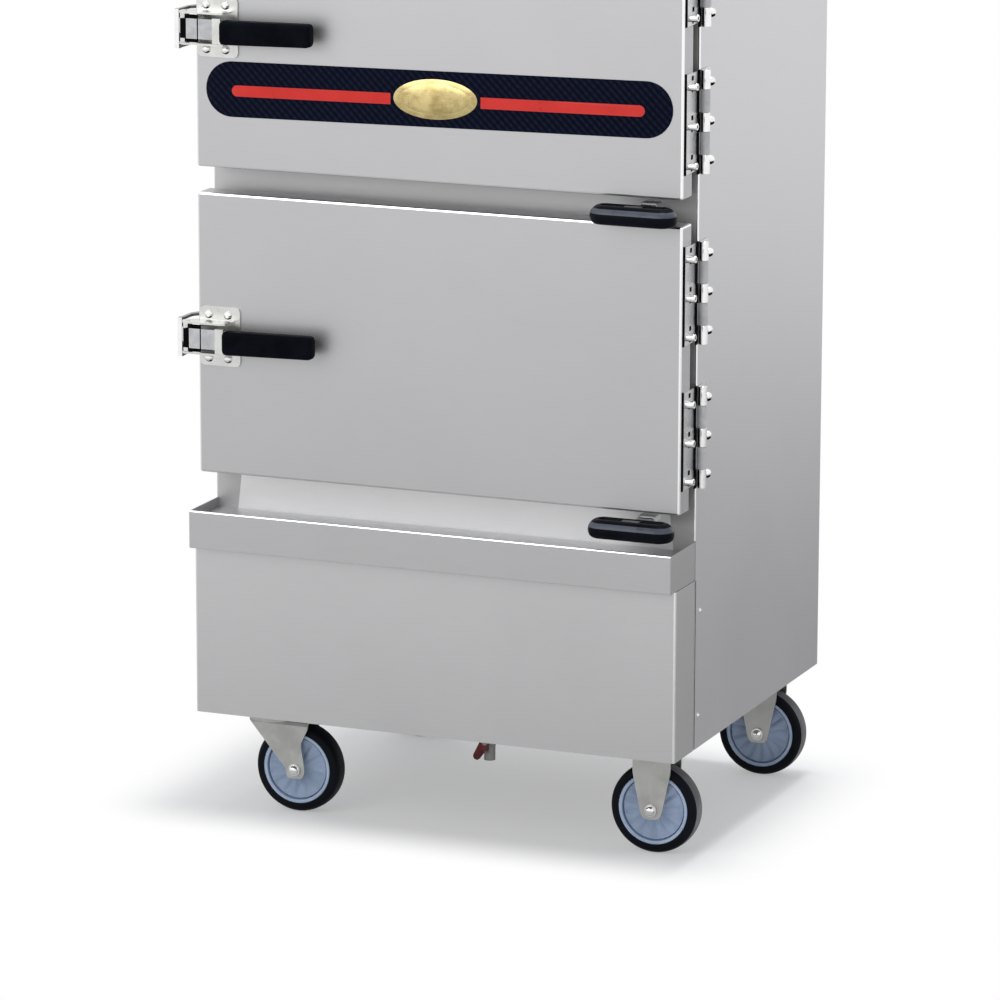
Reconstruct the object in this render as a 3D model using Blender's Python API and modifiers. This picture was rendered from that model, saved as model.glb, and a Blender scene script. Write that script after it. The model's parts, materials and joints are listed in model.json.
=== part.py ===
# Steamer cabinet: a free-standing stainless steel food steamer with two tray
# compartments behind hinged doors, a water tank below them and four casters.
# Metres, +Z up. Inside the file x = 0 is the middle of the body, y = 0 the front
# face of the body and z = 0 the floor. The doors face -Y. One empty then shifts
# everything, so that the origin is the bottom centre of the whole object.

import math

import bmesh
import bpy
from mathutils import Matrix, Vector

# Body
SIDE_WALL = 0.044
REAR_WALL = 0.075
SKIRT_HEIGHT = 0.234
GUTTER_HEIGHT = 0.0525
GUTTER_TO_DOOR = 0.0465
TOP_MARGIN = 0.042
SHEET = 0.0012
LINER_SHEET = 0.0010
SEAT = 0.0003
BEND = 0.0025
BOTTOM_FLANGE = 0.020
REAR_FLANGE = 0.015
LID_FLANGE = 0.024

# Doors
DOOR_OVERLAP = 0.037
DOOR_GAP = 0.035
DOOR_THICKNESS = 0.037
DOOR_STANDOFF = 0.018
DOOR_RIGHT_INSET = 0.003
DOOR_ROUNDING = 0.003
DOOR_LIP = 0.012
LINER_MARGIN = 0.006
FIELD_MARGIN = 0.062
FIELD_RISE = 0.009
FIELD_SLOPE = 0.012
FIELD_ROUNDING = 0.003
GASKET_MARGIN = 0.014
GASKET_CORNER = 0.022

# Chambers behind the doors, for trays of 600 by 400 mm on the runners
CHAMBER_WIDTH = 0.612
CHAMBER_HEIGHT = 0.312
CHAMBER_DEPTH = 0.430
CHAMBER_CORNER = 0.012
RUNNER_COUNT = 4
RUNNER_FIRST = 0.036
RUNNER_TOP_ROOM = 0.054
RUNNER_REACH = 0.012
RUNNER_HEIGHT = 0.006
RUNNER_END_GAP = 0.012

# Front frame, skirt and drip gutter
SERVICE_SIDE = 0.060
SERVICE_FOOT = 0.042
SERVICE_HEAD = 0.017
SERVICE_CORNER = 0.010
SKIRT_REACH = 0.0737
SKIRT_REAR_FLANGE = 0.020
SKIRT_FOOT_FLANGE = 0.018
GUTTER_REACH = 0.0925
GUTTER_END_INSET = 0.0008
GUTTER_DEPTH = 0.0135
GUTTER_HEM = 0.003
GUTTER_RETURN = 0.012
GUTTER_REAR_FLANGE = 0.024
GUTTER_BEND = 0.0012

# Hinges
HINGE_END_MARGIN = 0.027
HINGE_SPACE = 0.056
HINGE_BARREL_RADIUS = 0.006
HINGE_PIN_RADIUS = 0.003
HINGE_BORE_CLEARANCE = 0.0003
HINGE_AXIS_OUT = 0.0065
HINGE_AXIS_BACK = 0.003
HINGE_LEAF = 0.002
HINGE_KNUCKLE_CABINET = 0.026
HINGE_KNUCKLE_SPACE = 0.0003
HINGE_LEAF_CUTBACK = 0.0008
HINGE_LEAF_REACH = 0.030
HINGE_DOOR_LEAF_FRONT = 0.050
HINGE_DOOR_LEAF_END = 0.017
HINGE_JOGGLE_START = 0.014
HINGE_JOGGLE_END = 0.008
HINGE_BOLT_RADIUS = 0.0052
HINGE_BOLT_CROWN = 0.0026
HINGE_CABINET_BOLT_LENGTH = 0.0117
HINGE_CABINET_BOLT_BACK = 0.018
HINGE_DOOR_BOLT_LENGTH = 0.0125
HINGE_DOOR_BOLT_FRONT = 0.041
HINGE_BOLT_INSET = 0.017

# Latches
LATCH_DROP = 0.0025
LATCH_PLATE_LEFT = 0.004
LATCH_PLATE_WIDTH = 0.059
LATCH_PLATE_HEIGHT = 0.081
LATCH_PLATE = 0.0025
LATCH_PLATE_CORNER = 0.006
LATCH_BOLT_INSET = 0.013
LATCH_BOLT_RADIUS = 0.0048
LATCH_BOLT_RISE = 0.0034
LATCH_PIN_LEFT = 0.0065
LATCH_PIN_FRONT = 0.020
LATCH_PIN_RADIUS = 0.003
LATCH_EAR_PITCH = 0.042
LATCH_EAR = 0.0025
LATCH_EAR_RADIUS = 0.0078
LATCH_EAR_WIDTH = 0.050
LATCH_EAR_CORNER = 0.010
LATCH_BOSS_RADIUS = 0.0062
LATCH_TONGUE_HEIGHT = 0.020
LATCH_TONGUE = 0.005
LATCH_TONGUE_BACK = 0.030
LATCH_TONGUE_TIP = 0.006
LATCH_STRIP = 0.0045
LATCH_STRIP_HEIGHT = 0.024
LATCH_STRIP_SAG = 0.005
LATCH_STRIP_CURVE = 0.026
LATCH_STRIP_BEND = 0.012
LATCH_SEAM = 0.0012
LATCH_SEAM_BACK = 0.0015
GRIP_START = 0.049
GRIP_LENGTH = 0.134
GRIP_THICKNESS = 0.020
GRIP_HEIGHT = 0.037
GRIP_ROUNDING = 0.0055
GRIP_SOCKET = 0.110

# Latch keepers
KEEPER_BAR_LEFT = 0.031
KEEPER_BAR_WIDTH = 0.0065
KEEPER_BAR_DEPTH = 0.008
KEEPER_BAR_FRONT = 0.056
KEEPER_HEIGHT = 0.0535
KEEPER_ARM = 0.004
KEEPER_PLATE = 0.002
KEEPER_PLATE_FRONT = 0.006
KEEPER_PLATE_DEPTH = 0.034
KEEPER_PLATE_MARGIN = 0.006
KEEPER_RUN_IN = 0.022
KEEPER_CLEARANCE = 0.0006
KEEPER_DROP = 0.0058

# Steam dampers
DAMPER_INSET = 0.064
DAMPER_GRIP_WIDTH = 0.120
DAMPER_GRIP_DEPTH = 0.043
DAMPER_GRIP_HEIGHT = 0.026
DAMPER_GRIP_FRONT = 0.095
DAMPER_GRIP_WALL = 0.0045
DAMPER_GRIP_WEB = 0.030
DAMPER_GRIP_END = 0.014
DAMPER_GRIP_HOLLOW = 0.0105
DAMPER_HOLLOW_REACH = 0.018
DAMPER_HOLLOW_CORNER = 0.003
DAMPER_GRIP_ROUNDING = 0.0075
DAMPER_STRIP_WIDTH = 0.020
DAMPER_STRIP = 0.003
DAMPER_PLATE_WIDTH = 0.094
DAMPER_PLATE_DEPTH = 0.050
DAMPER_PLATE_BACK = 0.174
DAMPER_TOP_Z_OFFSET = 0.0175
DAMPER_LOW_Z_OFFSET = 0.0173
DAMPER_POCKET_HEIGHT = 0.017
DAMPER_POCKET_WIDTH = 0.100
DAMPER_POCKET_BACK = 0.200
GUIDE_WALL = 0.002
GUIDE_REACH = 0.020
GUIDE_CLEARANCE = 0.001

# Steam ways in the insulation
PORT_WIDTH = 0.040
PORT_DEPTH = 0.036
PORT_FRONT = 0.131
DUCT_WIDTH = 0.024
DUCT_SIDE_MARGIN = 0.008

# Base, tank and heater
ANGLE_LEG = 0.030
ANGLE_WALL = 0.003
CROSS_BAR_WIDTH = 0.030
CROSS_BAR_FRONT_SHARE = 0.24
CROSS_BAR_REAR_SHARE = 0.71
PAD_LENGTH = 0.105
PAD_DEPTH = 0.080
TANK_SIDE_ROOM = 0.060
TANK_FRONT = 0.012
TANK_REAR_ROOM = 0.065
TANK_TOP_DROP = 0.0125
TANK_RIM = 0.014
TANK_ROUNDING = 0.004
STUB_RADIUS = 0.0085
STUB_BORE = 0.0060
INLET_INSET = 0.130
INLET_DROP = 0.050
INLET_END = 0.015
DRAIN_X = 0.0345
DRAIN_Y = 0.050
DRAIN_STUB_DROP = 0.028
HEATER_X = -0.120
HEATER_RISE = 0.045
HEATER_FLANGE_RADIUS = 0.034
HEATER_FLANGE = 0.006
HEATER_HOLE_RADIUS = 0.024
HEATER_TUBE_RADIUS = 0.004
HEATER_TUBE_PITCH = 0.030
HEATER_END_ROOM = 0.088
HEATER_CAP_RADIUS = 0.022
HEATER_CAP_LENGTH = 0.034
GLAND_INSET = 0.100
GLAND_RISE = 0.092
GLAND_NUT_RADIUS = 0.0135
GLAND_THREAD_RADIUS = 0.0100
GLAND_BORE_RADIUS = 0.0050
GLAND_NUT_LENGTH = 0.012
GLAND_INSIDE = 0.014

# Drain valve
VALVE_RADIUS = 0.0095
VALVE_HEX_RADIUS = 0.0125
VALVE_HEX_HEIGHT = 0.012
VALVE_SPOUT_LENGTH = 0.028
VALVE_SPOUT_RADIUS = 0.0080
VALVE_SPOUT_BORE = 0.0055
VALVE_DROP = 0.0628
VALVE_STEM_RADIUS = 0.0040
VALVE_STEM_LENGTH = 0.0095
LEVER_LENGTH = 0.029
LEVER_TAIL = 0.006
LEVER_WIDTH = 0.010
LEVER_THICKNESS = 0.0025
LEVER_HUB_RADIUS = 0.0068
LEVER_SLANT = math.radians(31)

# Casters
WHEEL_RADIUS = 0.0625
TYRE_WIDTH = 0.032
TYRE_DEPTH = 0.0125
TYRE_SHOULDER = 0.007
HUB_RIM = 0.0055
HUB_GROOVE = 0.0017
HUB_GROOVE_DROP = 0.0015
HUB_WEB = 0.024
HUB_BOSS_RADIUS = 0.0125
HUB_FACE_WIDTH = 0.0345
FLUTE_COUNT = 12
FLUTE_DEPTH = 0.0026
FLUTE_INNER = 0.020
FLUTE_OUTER = 0.0365
DISC_RADIUS = 0.0405
AXLE_RADIUS = 0.0058
AXLE_CLEARANCE = 0.0003
AXLE_NUT_RADIUS = 0.0088
AXLE_NUT_LENGTH = 0.008
FORK_WALL = 0.003
FORK_INSIDE = 0.040
FORK_BEND = 0.005
RIGID_HALF_TOP = 0.027
RIGID_HALF_AXLE = 0.016
RIGID_NECK_ABOVE = 0.052
FORK_EYE = 0.0125
CASTER_PLATE = 0.0032
CASTER_PLATE_LENGTH = 0.105
CASTER_PLATE_WIDTH = 0.076
CASTER_PLATE_CORNER = 0.008
CASTER_SLOT_RADIUS = 0.0045
CASTER_SLOT_INSET = 0.012
CASTER_INSET_Y = 0.040
CASTER_ROOM = 0.033
RIGID_CASTER_INSET = 0.067
SWIVEL_INSET = 0.065
SWIVEL_TRAIL = 0.041
SWIVEL_CROWN_ROOM = 0.0065
SWIVEL_CROWN_LEFT = 0.0685
SWIVEL_CROWN_RIGHT = 0.0195
SWIVEL_FLARE_BELOW = 0.0105
SWIVEL_NECK_RIGHT = 0.009
SWIVEL_EYE_RIGHT = 0.015
RACE_RADIUS = 0.030
RACE_CUP_RADIUS = 0.0345
RACE_CUP_HEIGHT = 0.008
KINGPIN_RADIUS = 0.006
KINGPIN_HEAD_RADIUS = 0.009
KINGPIN_HEAD = 0.004

# Facets and overruns
BEND_STEPS = 2
GRIP_STEPS = 3
ROUND_STEPS = 16
HOLE_STEPS = 16
BARREL_SIDES = 10
BOLT_SIDES = 6
SHOULDER_STEPS = 2
HAIRPIN_STEPS = 5
SMALL_SIDES = 8
WELD = 0.00001
OVERRUN = 0.004
LEG_SHARE = 0.48
SMOOTH_ANGLE = math.radians(35)
EDGE_ANGLE = math.radians(40)
FIELD_ANGLE = math.radians(20)

# Places and sizes worked out from the sizes above
BODY_WIDTH = CHAMBER_WIDTH + 2 * SIDE_WALL
BODY_DEPTH = CHAMBER_DEPTH + REAR_WALL
HALF_WIDTH = BODY_WIDTH / 2
BODY_BOTTOM = 2 * WHEEL_RADIUS + CASTER_ROOM
DOOR_HEIGHT = CHAMBER_HEIGHT + 2 * DOOR_OVERLAP
RUNNER_PITCH = (CHAMBER_HEIGHT - RUNNER_FIRST - RUNNER_TOP_ROOM) / (RUNNER_COUNT - 1)
SKIRT_TOP = BODY_BOTTOM + SKIRT_HEIGHT
GUTTER_TOP = SKIRT_TOP + GUTTER_HEIGHT
GUTTER_FLOOR = GUTTER_TOP - GUTTER_DEPTH
LOWER_DOOR_Z = GUTTER_TOP + GUTTER_TO_DOOR
UPPER_DOOR_Z = LOWER_DOOR_Z + DOOR_HEIGHT + DOOR_GAP
BODY_TOP = UPPER_DOOR_Z + DOOR_HEIGHT + TOP_MARGIN
DOOR_BACK = -DOOR_STANDOFF
DOOR_FRONT = DOOR_BACK - DOOR_THICKNESS
DOOR_LEFT = -HALF_WIDTH
DOOR_RIGHT = HALF_WIDTH - DOOR_RIGHT_INSET
INNER_HALF = HALF_WIDTH - SHEET - SEAT
INNER_FRONT = SHEET + SEAT
INNER_BACK = BODY_DEPTH - SHEET - SEAT
BACK_PANEL_FRONT = INNER_BACK - SHEET
LINING_BACK = BACK_PANEL_FRONT - SEAT
LID_BOTTOM = BODY_TOP - SHEET
PANEL_TOP = LID_BOTTOM - SEAT
FRAME_BOTTOM = BODY_BOTTOM + SHEET + SEAT
SERVICE_HALF_WIDTH = HALF_WIDTH - SERVICE_SIDE
SERVICE_HEIGHT = SKIRT_HEIGHT - SERVICE_FOOT - SERVICE_HEAD
TANK_HALF_WIDTH = HALF_WIDTH - TANK_SIDE_ROOM
TANK_BACK = BODY_DEPTH - TANK_REAR_ROOM
TANK_TOP = GUTTER_TOP - TANK_TOP_DROP
ANGLE_BOTTOM = BODY_BOTTOM + SHEET + SEAT
TANK_BOTTOM = ANGLE_BOTTOM + ANGLE_LEG + SEAT
WOOL_BOTTOM = TANK_TOP + SEAT
WOOL_TOP = BODY_TOP - SHEET - LID_FLANGE - SEAT
HINGE_LENGTH = (DOOR_HEIGHT - HINGE_SPACE) / 2 - HINGE_END_MARGIN
HINGE_BOLT_PITCH = HINGE_LENGTH / 2 - HINGE_BOLT_INSET
HINGE_X = HALF_WIDTH + HINGE_AXIS_OUT
HINGE_Y = HINGE_AXIS_BACK
LATCH_PIN_X = DOOR_LEFT - LATCH_PIN_LEFT
LATCH_PIN_Y = DOOR_FRONT - LATCH_PIN_FRONT
LATCH_HEIGHT_ON_DOOR = DOOR_HEIGHT / 2 - LATCH_DROP
DAMPER_X = HALF_WIDTH - DAMPER_INSET
UPPER_DAMPER_Z = UPPER_DOOR_Z - DAMPER_TOP_Z_OFFSET
LOWER_DAMPER_Z = LOWER_DOOR_Z - DAMPER_LOW_Z_OFFSET
AXLE_Z = WHEEL_RADIUS
CASTER_TOP = BODY_BOTTOM - SEAT
CASTER_PLATE_BOTTOM = CASTER_TOP - CASTER_PLATE
REAR_CASTER_Y = BODY_DEPTH - CASTER_INSET_Y
RIGID_CASTER_X = HALF_WIDTH - RIGID_CASTER_INSET
SWIVEL_X = SWIVEL_INSET - HALF_WIDTH
SWIVEL_CROWN_Z = 2 * WHEEL_RADIUS + SWIVEL_CROWN_ROOM
TYRE_INNER_RADIUS = WHEEL_RADIUS - TYRE_DEPTH
WHEEL_STEPS = 2 * FLUTE_COUNT
INLET_X = INLET_INSET - HALF_WIDTH
INLET_Z = TANK_TOP - INLET_DROP
HEATER_Z = TANK_BOTTOM + HEATER_RISE
HEATER_REACH = TANK_BACK - TANK_FRONT - HEATER_END_ROOM
GLAND_X = HALF_WIDTH - GLAND_INSET
GLAND_Z = BODY_BOTTOM + GLAND_RISE
VALVE_STEM_Z = TANK_BOTTOM - VALVE_DROP
VALVE_BOTTOM = VALVE_STEM_Z - VALVE_SPOUT_LENGTH
HINGE_BOLT_END = HALF_WIDTH + SEAT + HINGE_LEAF + HINGE_CABINET_BOLT_LENGTH
KEEPER_LEFT = -HALF_WIDTH - KEEPER_BAR_LEFT
KEEPER_RIGHT = KEEPER_LEFT + KEEPER_BAR_WIDTH
GASKET_RADIUS = (DOOR_STANDOFF - LINER_SHEET - 3 * SEAT) / 2
INLET_TIP = BODY_DEPTH + INLET_END


# Scene, materials and placing

def clear_scene():
    """Empty the scene and make the collections and the empty that everything hangs on."""
    for obj in list(bpy.data.objects):
        bpy.data.objects.remove(obj)
    for name in ("steamer_cabinet", "cutters"):
        bpy.context.scene.collection.children.link(bpy.data.collections.new(name))
    origin = bpy.data.objects.new("cabinet_origin", None)
    middle_x = (HINGE_BOLT_END + KEEPER_LEFT) / 2
    middle_y = (INLET_TIP - DAMPER_GRIP_FRONT) / 2
    origin.location = (-middle_x, -middle_y, 0)
    bpy.data.collections["steamer_cabinet"].objects.link(origin)


FINISHES = {
    "brushed_steel": ((0.60, 0.60, 0.61), 0.34, 1.0),
    "liner_steel": ((0.66, 0.66, 0.67), 0.26, 1.0),
    "zinc_plate": ((0.56, 0.56, 0.57), 0.38, 1.0),
    "bright_steel": ((0.72, 0.72, 0.73), 0.20, 1.0),
    "base_steel": ((0.42, 0.42, 0.44), 0.50, 1.0),
    "tank_steel": ((0.55, 0.56, 0.57), 0.40, 1.0),
    "black_rubber": ((0.020, 0.020, 0.022), 0.62, 0.0),
    "tyre_rubber": ((0.022, 0.022, 0.024), 0.70, 0.0),
    "hub_grey": ((0.30, 0.31, 0.42), 0.50, 0.0),
    "gasket_rubber": ((0.060, 0.060, 0.062), 0.75, 0.0),
    "grip_plastic": ((0.024, 0.025, 0.030), 0.36, 0.0),
    "lever_red": ((0.26, 0.035, 0.035), 0.45, 0.0),
    "valve_grey": ((0.46, 0.46, 0.46), 0.42, 1.0),
    "insulation_wool": ((0.62, 0.55, 0.38), 0.95, 0.0),
    "gland_black": ((0.030, 0.030, 0.032), 0.50, 0.0),
}


def finish(name):
    """The material of this name, made once from its colour, roughness and metallic value."""
    if name in bpy.data.materials:
        return bpy.data.materials[name]
    colour, roughness, metallic = FINISHES[name]
    made = bpy.data.materials.new(name)
    made.use_nodes = True
    shader = made.node_tree.nodes["Principled BSDF"]
    shader.inputs["Base Color"].default_value = (*colour, 1)
    shader.inputs["Roughness"].default_value = roughness
    shader.inputs["Metallic"].default_value = metallic
    return made


def helper(name, mesh, place=(0, 0, 0)):
    """An object that starts as a helper shape. keep() makes it a part of the cabinet."""
    obj = bpy.data.objects.new(name, mesh)
    obj.location = place
    obj.hide_render = True
    obj.display_type = "WIRE"
    obj.parent = bpy.data.objects["cabinet_origin"]
    bpy.data.collections["cutters"].objects.link(obj)
    return obj


def keep(obj, name, finish_name, carrier=None):
    """Turn a helper shape into the named part, held by its carrier empty if it moves."""
    obj.name = name
    obj.data.name = name
    obj.hide_render = False
    obj.display_type = "TEXTURED"
    bpy.data.collections["cutters"].objects.unlink(obj)
    bpy.data.collections["steamer_cabinet"].objects.link(obj)
    obj.data.materials.clear()
    obj.data.materials.append(finish(finish_name))
    obj.data.shade_smooth()
    obj.data.set_sharp_from_angle(angle=SMOOTH_ANGLE)
    if carrier:
        obj.parent = carrier
        obj.location = obj.location - place_in_cabinet(carrier)
    return obj


def place_in_cabinet(empty):
    """Where an empty lies in the cabinet's own coordinates."""
    place = Vector((0, 0, 0))
    while empty.name != "cabinet_origin":
        place += empty.location
        empty = empty.parent
    return place


def joint_empty(name, place, carrier=None):
    """An empty on a joint's axis, which carries the pieces that move together."""
    empty = bpy.data.objects.new(name, None)
    carrier = carrier or bpy.data.objects["cabinet_origin"]
    empty.parent = carrier
    empty.location = Vector(place) - place_in_cabinet(carrier)
    bpy.data.collections["steamer_cabinet"].objects.link(empty)
    return empty


# Shapes

def plane_turn(plane):
    """The turn that lays a shape drawn flat into the plane of this name."""
    if plane == "XZ":
        return Matrix(((1, 0, 0), (0, 0, -1), (0, 1, 0)))
    if plane == "YZ":
        return Matrix(((0, 0, 1), (1, 0, 0), (0, 1, 0)))
    return Matrix.Identity(3)


def lay_in_plane(mesh, plane, low, high):
    """Turn a flat shape drawn about zero into its plane, centred between low and high."""
    across = Vector((plane == "YZ", plane == "XZ", plane == "XY"))
    mesh.transform(plane_turn(plane).to_4x4())
    mesh.transform(Matrix.Translation(across * (low + high) / 2))


def box(name, x, y, z, rounding=0.0, segments=2):
    """A box between (low, high) pairs, its edges rounded if asked."""
    size = Vector((x[1] - x[0], y[1] - y[0], z[1] - z[0]))
    middle = Vector((x[0] + x[1], y[0] + y[1], z[0] + z[1])) / 2
    bm = bmesh.new()
    bmesh.ops.create_cube(bm, size=1)
    bmesh.ops.scale(bm, vec=size, verts=bm.verts)
    mesh = bpy.data.meshes.new(name)
    bm.to_mesh(mesh)
    bm.free()
    obj = helper(name, mesh, middle)
    if rounding > 0:
        round_edges(obj, rounding, segments)
    return obj


def round_edges(obj, width, segments=2, angle=EDGE_ANGLE):
    """Bevel the sharp edges of an object."""
    bevel = obj.modifiers.new("rounded_edges", "BEVEL")
    bevel.width = width
    bevel.segments = segments
    bevel.limit_method = "ANGLE"
    bevel.angle_limit = angle


def filleted(corners, radius, closed=False, steps=BEND_STEPS):
    """Corner points with each corner turned into an arc. A third number is its own radius."""
    outline = []
    count = len(corners)
    for index, corner in enumerate(corners):
        here = Vector(corner[:2])
        own = corner[2] if len(corner) > 2 else radius
        at_end = not closed and index in (0, count - 1)
        if at_end or own <= 0:
            outline.append(tuple(here))
            continue
        before = Vector(corners[index - 1][:2]) - here
        after = Vector(corners[(index + 1) % count][:2]) - here
        half = before.angle(after) / 2
        reach = min(own / math.tan(half), before.length * LEG_SHARE, after.length * LEG_SHARE)
        true_radius = reach * math.tan(half)
        inward = (before.normalized() + after.normalized()).normalized()
        centre = here + inward * (true_radius / math.sin(half))
        start = here + before.normalized() * reach - centre
        end = here + after.normalized() * reach - centre
        sweep = math.pi - 2 * half
        for step in range(steps + 1):
            part = step / steps
            turned_to = start * math.sin((1 - part) * sweep) + end * math.sin(part * sweep)
            outline.append(tuple(centre + turned_to / math.sin(sweep)))
    return outline


def rectangle(a, b, corner=0.0, steps=BEND_STEPS):
    """The outline of a rectangle between (low, high) pairs, its corners rounded if asked."""
    corners = [(a[0], b[0]), (a[1], b[0]), (a[1], b[1]), (a[0], b[1])]
    return filleted(corners, corner, closed=True, steps=steps)


def circle(a, b, radius, steps=ROUND_STEPS):
    """The outline of a circle about (a, b)."""
    turn = 2 * math.pi / steps
    return [(a + radius * math.cos(i * turn), b + radius * math.sin(i * turn)) for i in range(steps)]


def extrusion(name, outlines, low, high, plane):
    """A flat outline, with the later outlines as its holes, made thick from low to high."""
    curve = bpy.data.curves.new(name, "CURVE")
    curve.dimensions = "2D"
    curve.fill_mode = "BOTH"
    curve.extrude = (high - low) / 2
    for outline in outlines:
        spline = curve.splines.new("POLY")
        spline.points.add(len(outline[1:]))
        for point, (a, b) in zip(spline.points, outline):
            point.co = Vector((a, b, 0)).to_4d()
        spline.use_cyclic_u = True
    flat = bpy.data.objects.new(name, curve)
    mesh = bpy.data.meshes.new_from_object(flat)
    bpy.data.objects.remove(flat)
    weld(mesh)
    lay_in_plane(mesh, plane, low, high)
    return helper(name, mesh)


def weld(mesh):
    """Weld the loose caps of a mesh that was made from a curve."""
    bm = bmesh.new()
    bm.from_mesh(mesh)
    bmesh.ops.remove_doubles(bm, verts=bm.verts, dist=WELD)
    bmesh.ops.recalc_face_normals(bm, faces=bm.faces)
    bm.to_mesh(mesh)
    bm.free()


def folded_sheet(name, path, low, high, plane, thickness):
    """Sheet metal bent along an open path in a plane, as wide as low to high across it."""
    mesh = bpy.data.meshes.new(name)
    bm = bmesh.new()
    half = (high - low) / 2
    verts = [bm.verts.new((a, b, -half)) for a, b in path]
    edges = [bm.edges.new(pair) for pair in zip(verts, verts[1:])]
    swept = bmesh.ops.extrude_edge_only(bm, edges=edges)["geom"]
    moved = [item for item in swept if isinstance(item, bmesh.types.BMVert)]
    bmesh.ops.translate(bm, vec=(0, 0, high - low), verts=moved)
    bmesh.ops.recalc_face_normals(bm, faces=bm.faces)
    bm.to_mesh(mesh)
    bm.free()
    lay_in_plane(mesh, plane, low, high)
    obj = helper(name, mesh)
    thicken(obj, thickness, 0)
    return obj


def thicken(obj, thickness, offset):
    """Give an open surface the thickness of its sheet."""
    solid = obj.modifiers.new("sheet", "SOLIDIFY")
    solid.thickness = thickness
    solid.offset = offset
    solid.use_even_offset = True


def rod(name, start, end, radius, sides=ROUND_STEPS, crown=0.0):
    """A round bar from one point to another, its far rim chamfered if asked."""
    start = Vector(start)
    run = Vector(end) - start
    bm = bmesh.new()
    bmesh.ops.create_cone(bm, cap_ends=True, segments=sides, radius1=radius, radius2=radius, depth=run.length)
    if crown > 0:
        rim = [edge for edge in bm.edges if min(vert.co.z for vert in edge.verts) > 0]
        bmesh.ops.bevel(bm, geom=rim, offset=crown, segments=1, affect="EDGES")
    mesh = bpy.data.meshes.new(name)
    bm.to_mesh(mesh)
    bm.free()
    mesh.transform(run.to_track_quat("Z", "Y").to_matrix().to_4x4())
    return helper(name, mesh, start + run / 2)


def turned(name, profile, place, plane="XY", steps=ROUND_STEPS, closed=False):
    """A profile of (radius, height) points, top to bottom, turned about the plane's normal."""
    bm = bmesh.new()
    verts = [bm.verts.new((radius, 0, height)) for radius, height in profile]
    for pair in zip(verts, verts[1:]):
        bm.edges.new(pair)
    if closed:
        bm.edges.new((verts[-1], verts[0]))
    mesh = bpy.data.meshes.new(name)
    bm.to_mesh(mesh)
    bm.free()
    obj = helper(name, mesh, place)
    obj.rotation_euler = plane_turn(plane).to_euler()
    screw = obj.modifiers.new("turned", "SCREW")
    screw.steps = steps
    screw.render_steps = steps
    screw.use_merge_vertices = True
    screw.merge_threshold = WELD
    return obj


def joined(base, *others, solver="EXACT"):
    """Unite other shapes with the base."""
    for index, other in enumerate(others):
        join = base.modifiers.new(f"join_{index}", "BOOLEAN")
        join.operation = "UNION"
        join.solver = solver
        join.object = other
    return base


def cut(base, *others):
    """Take other shapes away from the base."""
    for index, other in enumerate(others):
        take = base.modifiers.new(f"cut_{index}", "BOOLEAN")
        take.operation = "DIFFERENCE"
        take.object = other
    return base


def gathered(name, shapes):
    """Plain shapes that stand apart, gathered into one helper."""
    bm = bmesh.new()
    for shape in shapes:
        piece = shape.data.copy()
        piece.transform(Matrix.Translation(shape.location))
        bm.from_mesh(piece)
        bpy.data.meshes.remove(piece)
        bpy.data.objects.remove(shape)
    mesh = bpy.data.meshes.new(name)
    bm.to_mesh(mesh)
    bm.free()
    return helper(name, mesh)


# Housing

def side_panel(name, side):
    """A folded side sheet with a rear flange and a foot flange turned in under the body."""
    wall = HALF_WIDTH - SHEET / 2
    back = BODY_DEPTH - SHEET / 2
    corners = [(side * (HALF_WIDTH - REAR_FLANGE), back), (side * wall, back), (side * wall, 0)]
    panel = folded_sheet(name, filleted(corners, BEND), BODY_BOTTOM, PANEL_TOP, "XY", SHEET)
    foot_x = sorted((side * (HALF_WIDTH - SHEET / 2), side * (HALF_WIDTH - BOTTOM_FLANGE)))
    foot_back = BODY_DEPTH - BEND - SHEET
    foot = box(name + "_foot", foot_x, (0, foot_back), (BODY_BOTTOM, BODY_BOTTOM + SHEET))
    keep(joined(panel, foot), name, "brushed_steel")


def back_panel():
    """The rear sheet between the side flanges, with holes for the water inlet and the cord gland."""
    half = INNER_HALF - BEND
    outline = rectangle((-half, half), (FRAME_BOTTOM, PANEL_TOP))
    inlet = circle(INLET_X, INLET_Z, STUB_RADIUS + SEAT, HOLE_STEPS)
    gland = circle(GLAND_X, GLAND_Z, GLAND_THREAD_RADIUS + SEAT, HOLE_STEPS)
    panel = extrusion("back", [outline, inlet, gland], BACK_PANEL_FRONT, INNER_BACK, "XZ")
    keep(panel, "back_panel", "brushed_steel")


def top_panel():
    """The lid: a flat sheet on the walls with a flange turned down inside them."""
    lid = box("lid", (-HALF_WIDTH, HALF_WIDTH), (0, BODY_DEPTH), (LID_BOTTOM, BODY_TOP))
    x = (-INNER_HALF, INNER_HALF)
    y = (INNER_FRONT, LINING_BACK)
    ring = rectangle(x, y, BEND)
    inside = rectangle((x[0] + SHEET, x[1] - SHEET), (y[0] + SHEET, y[1] - SHEET), BEND)
    low = BODY_TOP - SHEET - LID_FLANGE
    flange = extrusion("lid_flange", [ring, inside], low, BODY_TOP - SHEET / 2, "XY")
    keep(joined(lid, flange), "top_panel", "brushed_steel")


def door_zs():
    """The two compartments, as (name, bottom of the door)."""
    return (("upper", UPPER_DOOR_Z), ("lower", LOWER_DOOR_Z))


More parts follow.
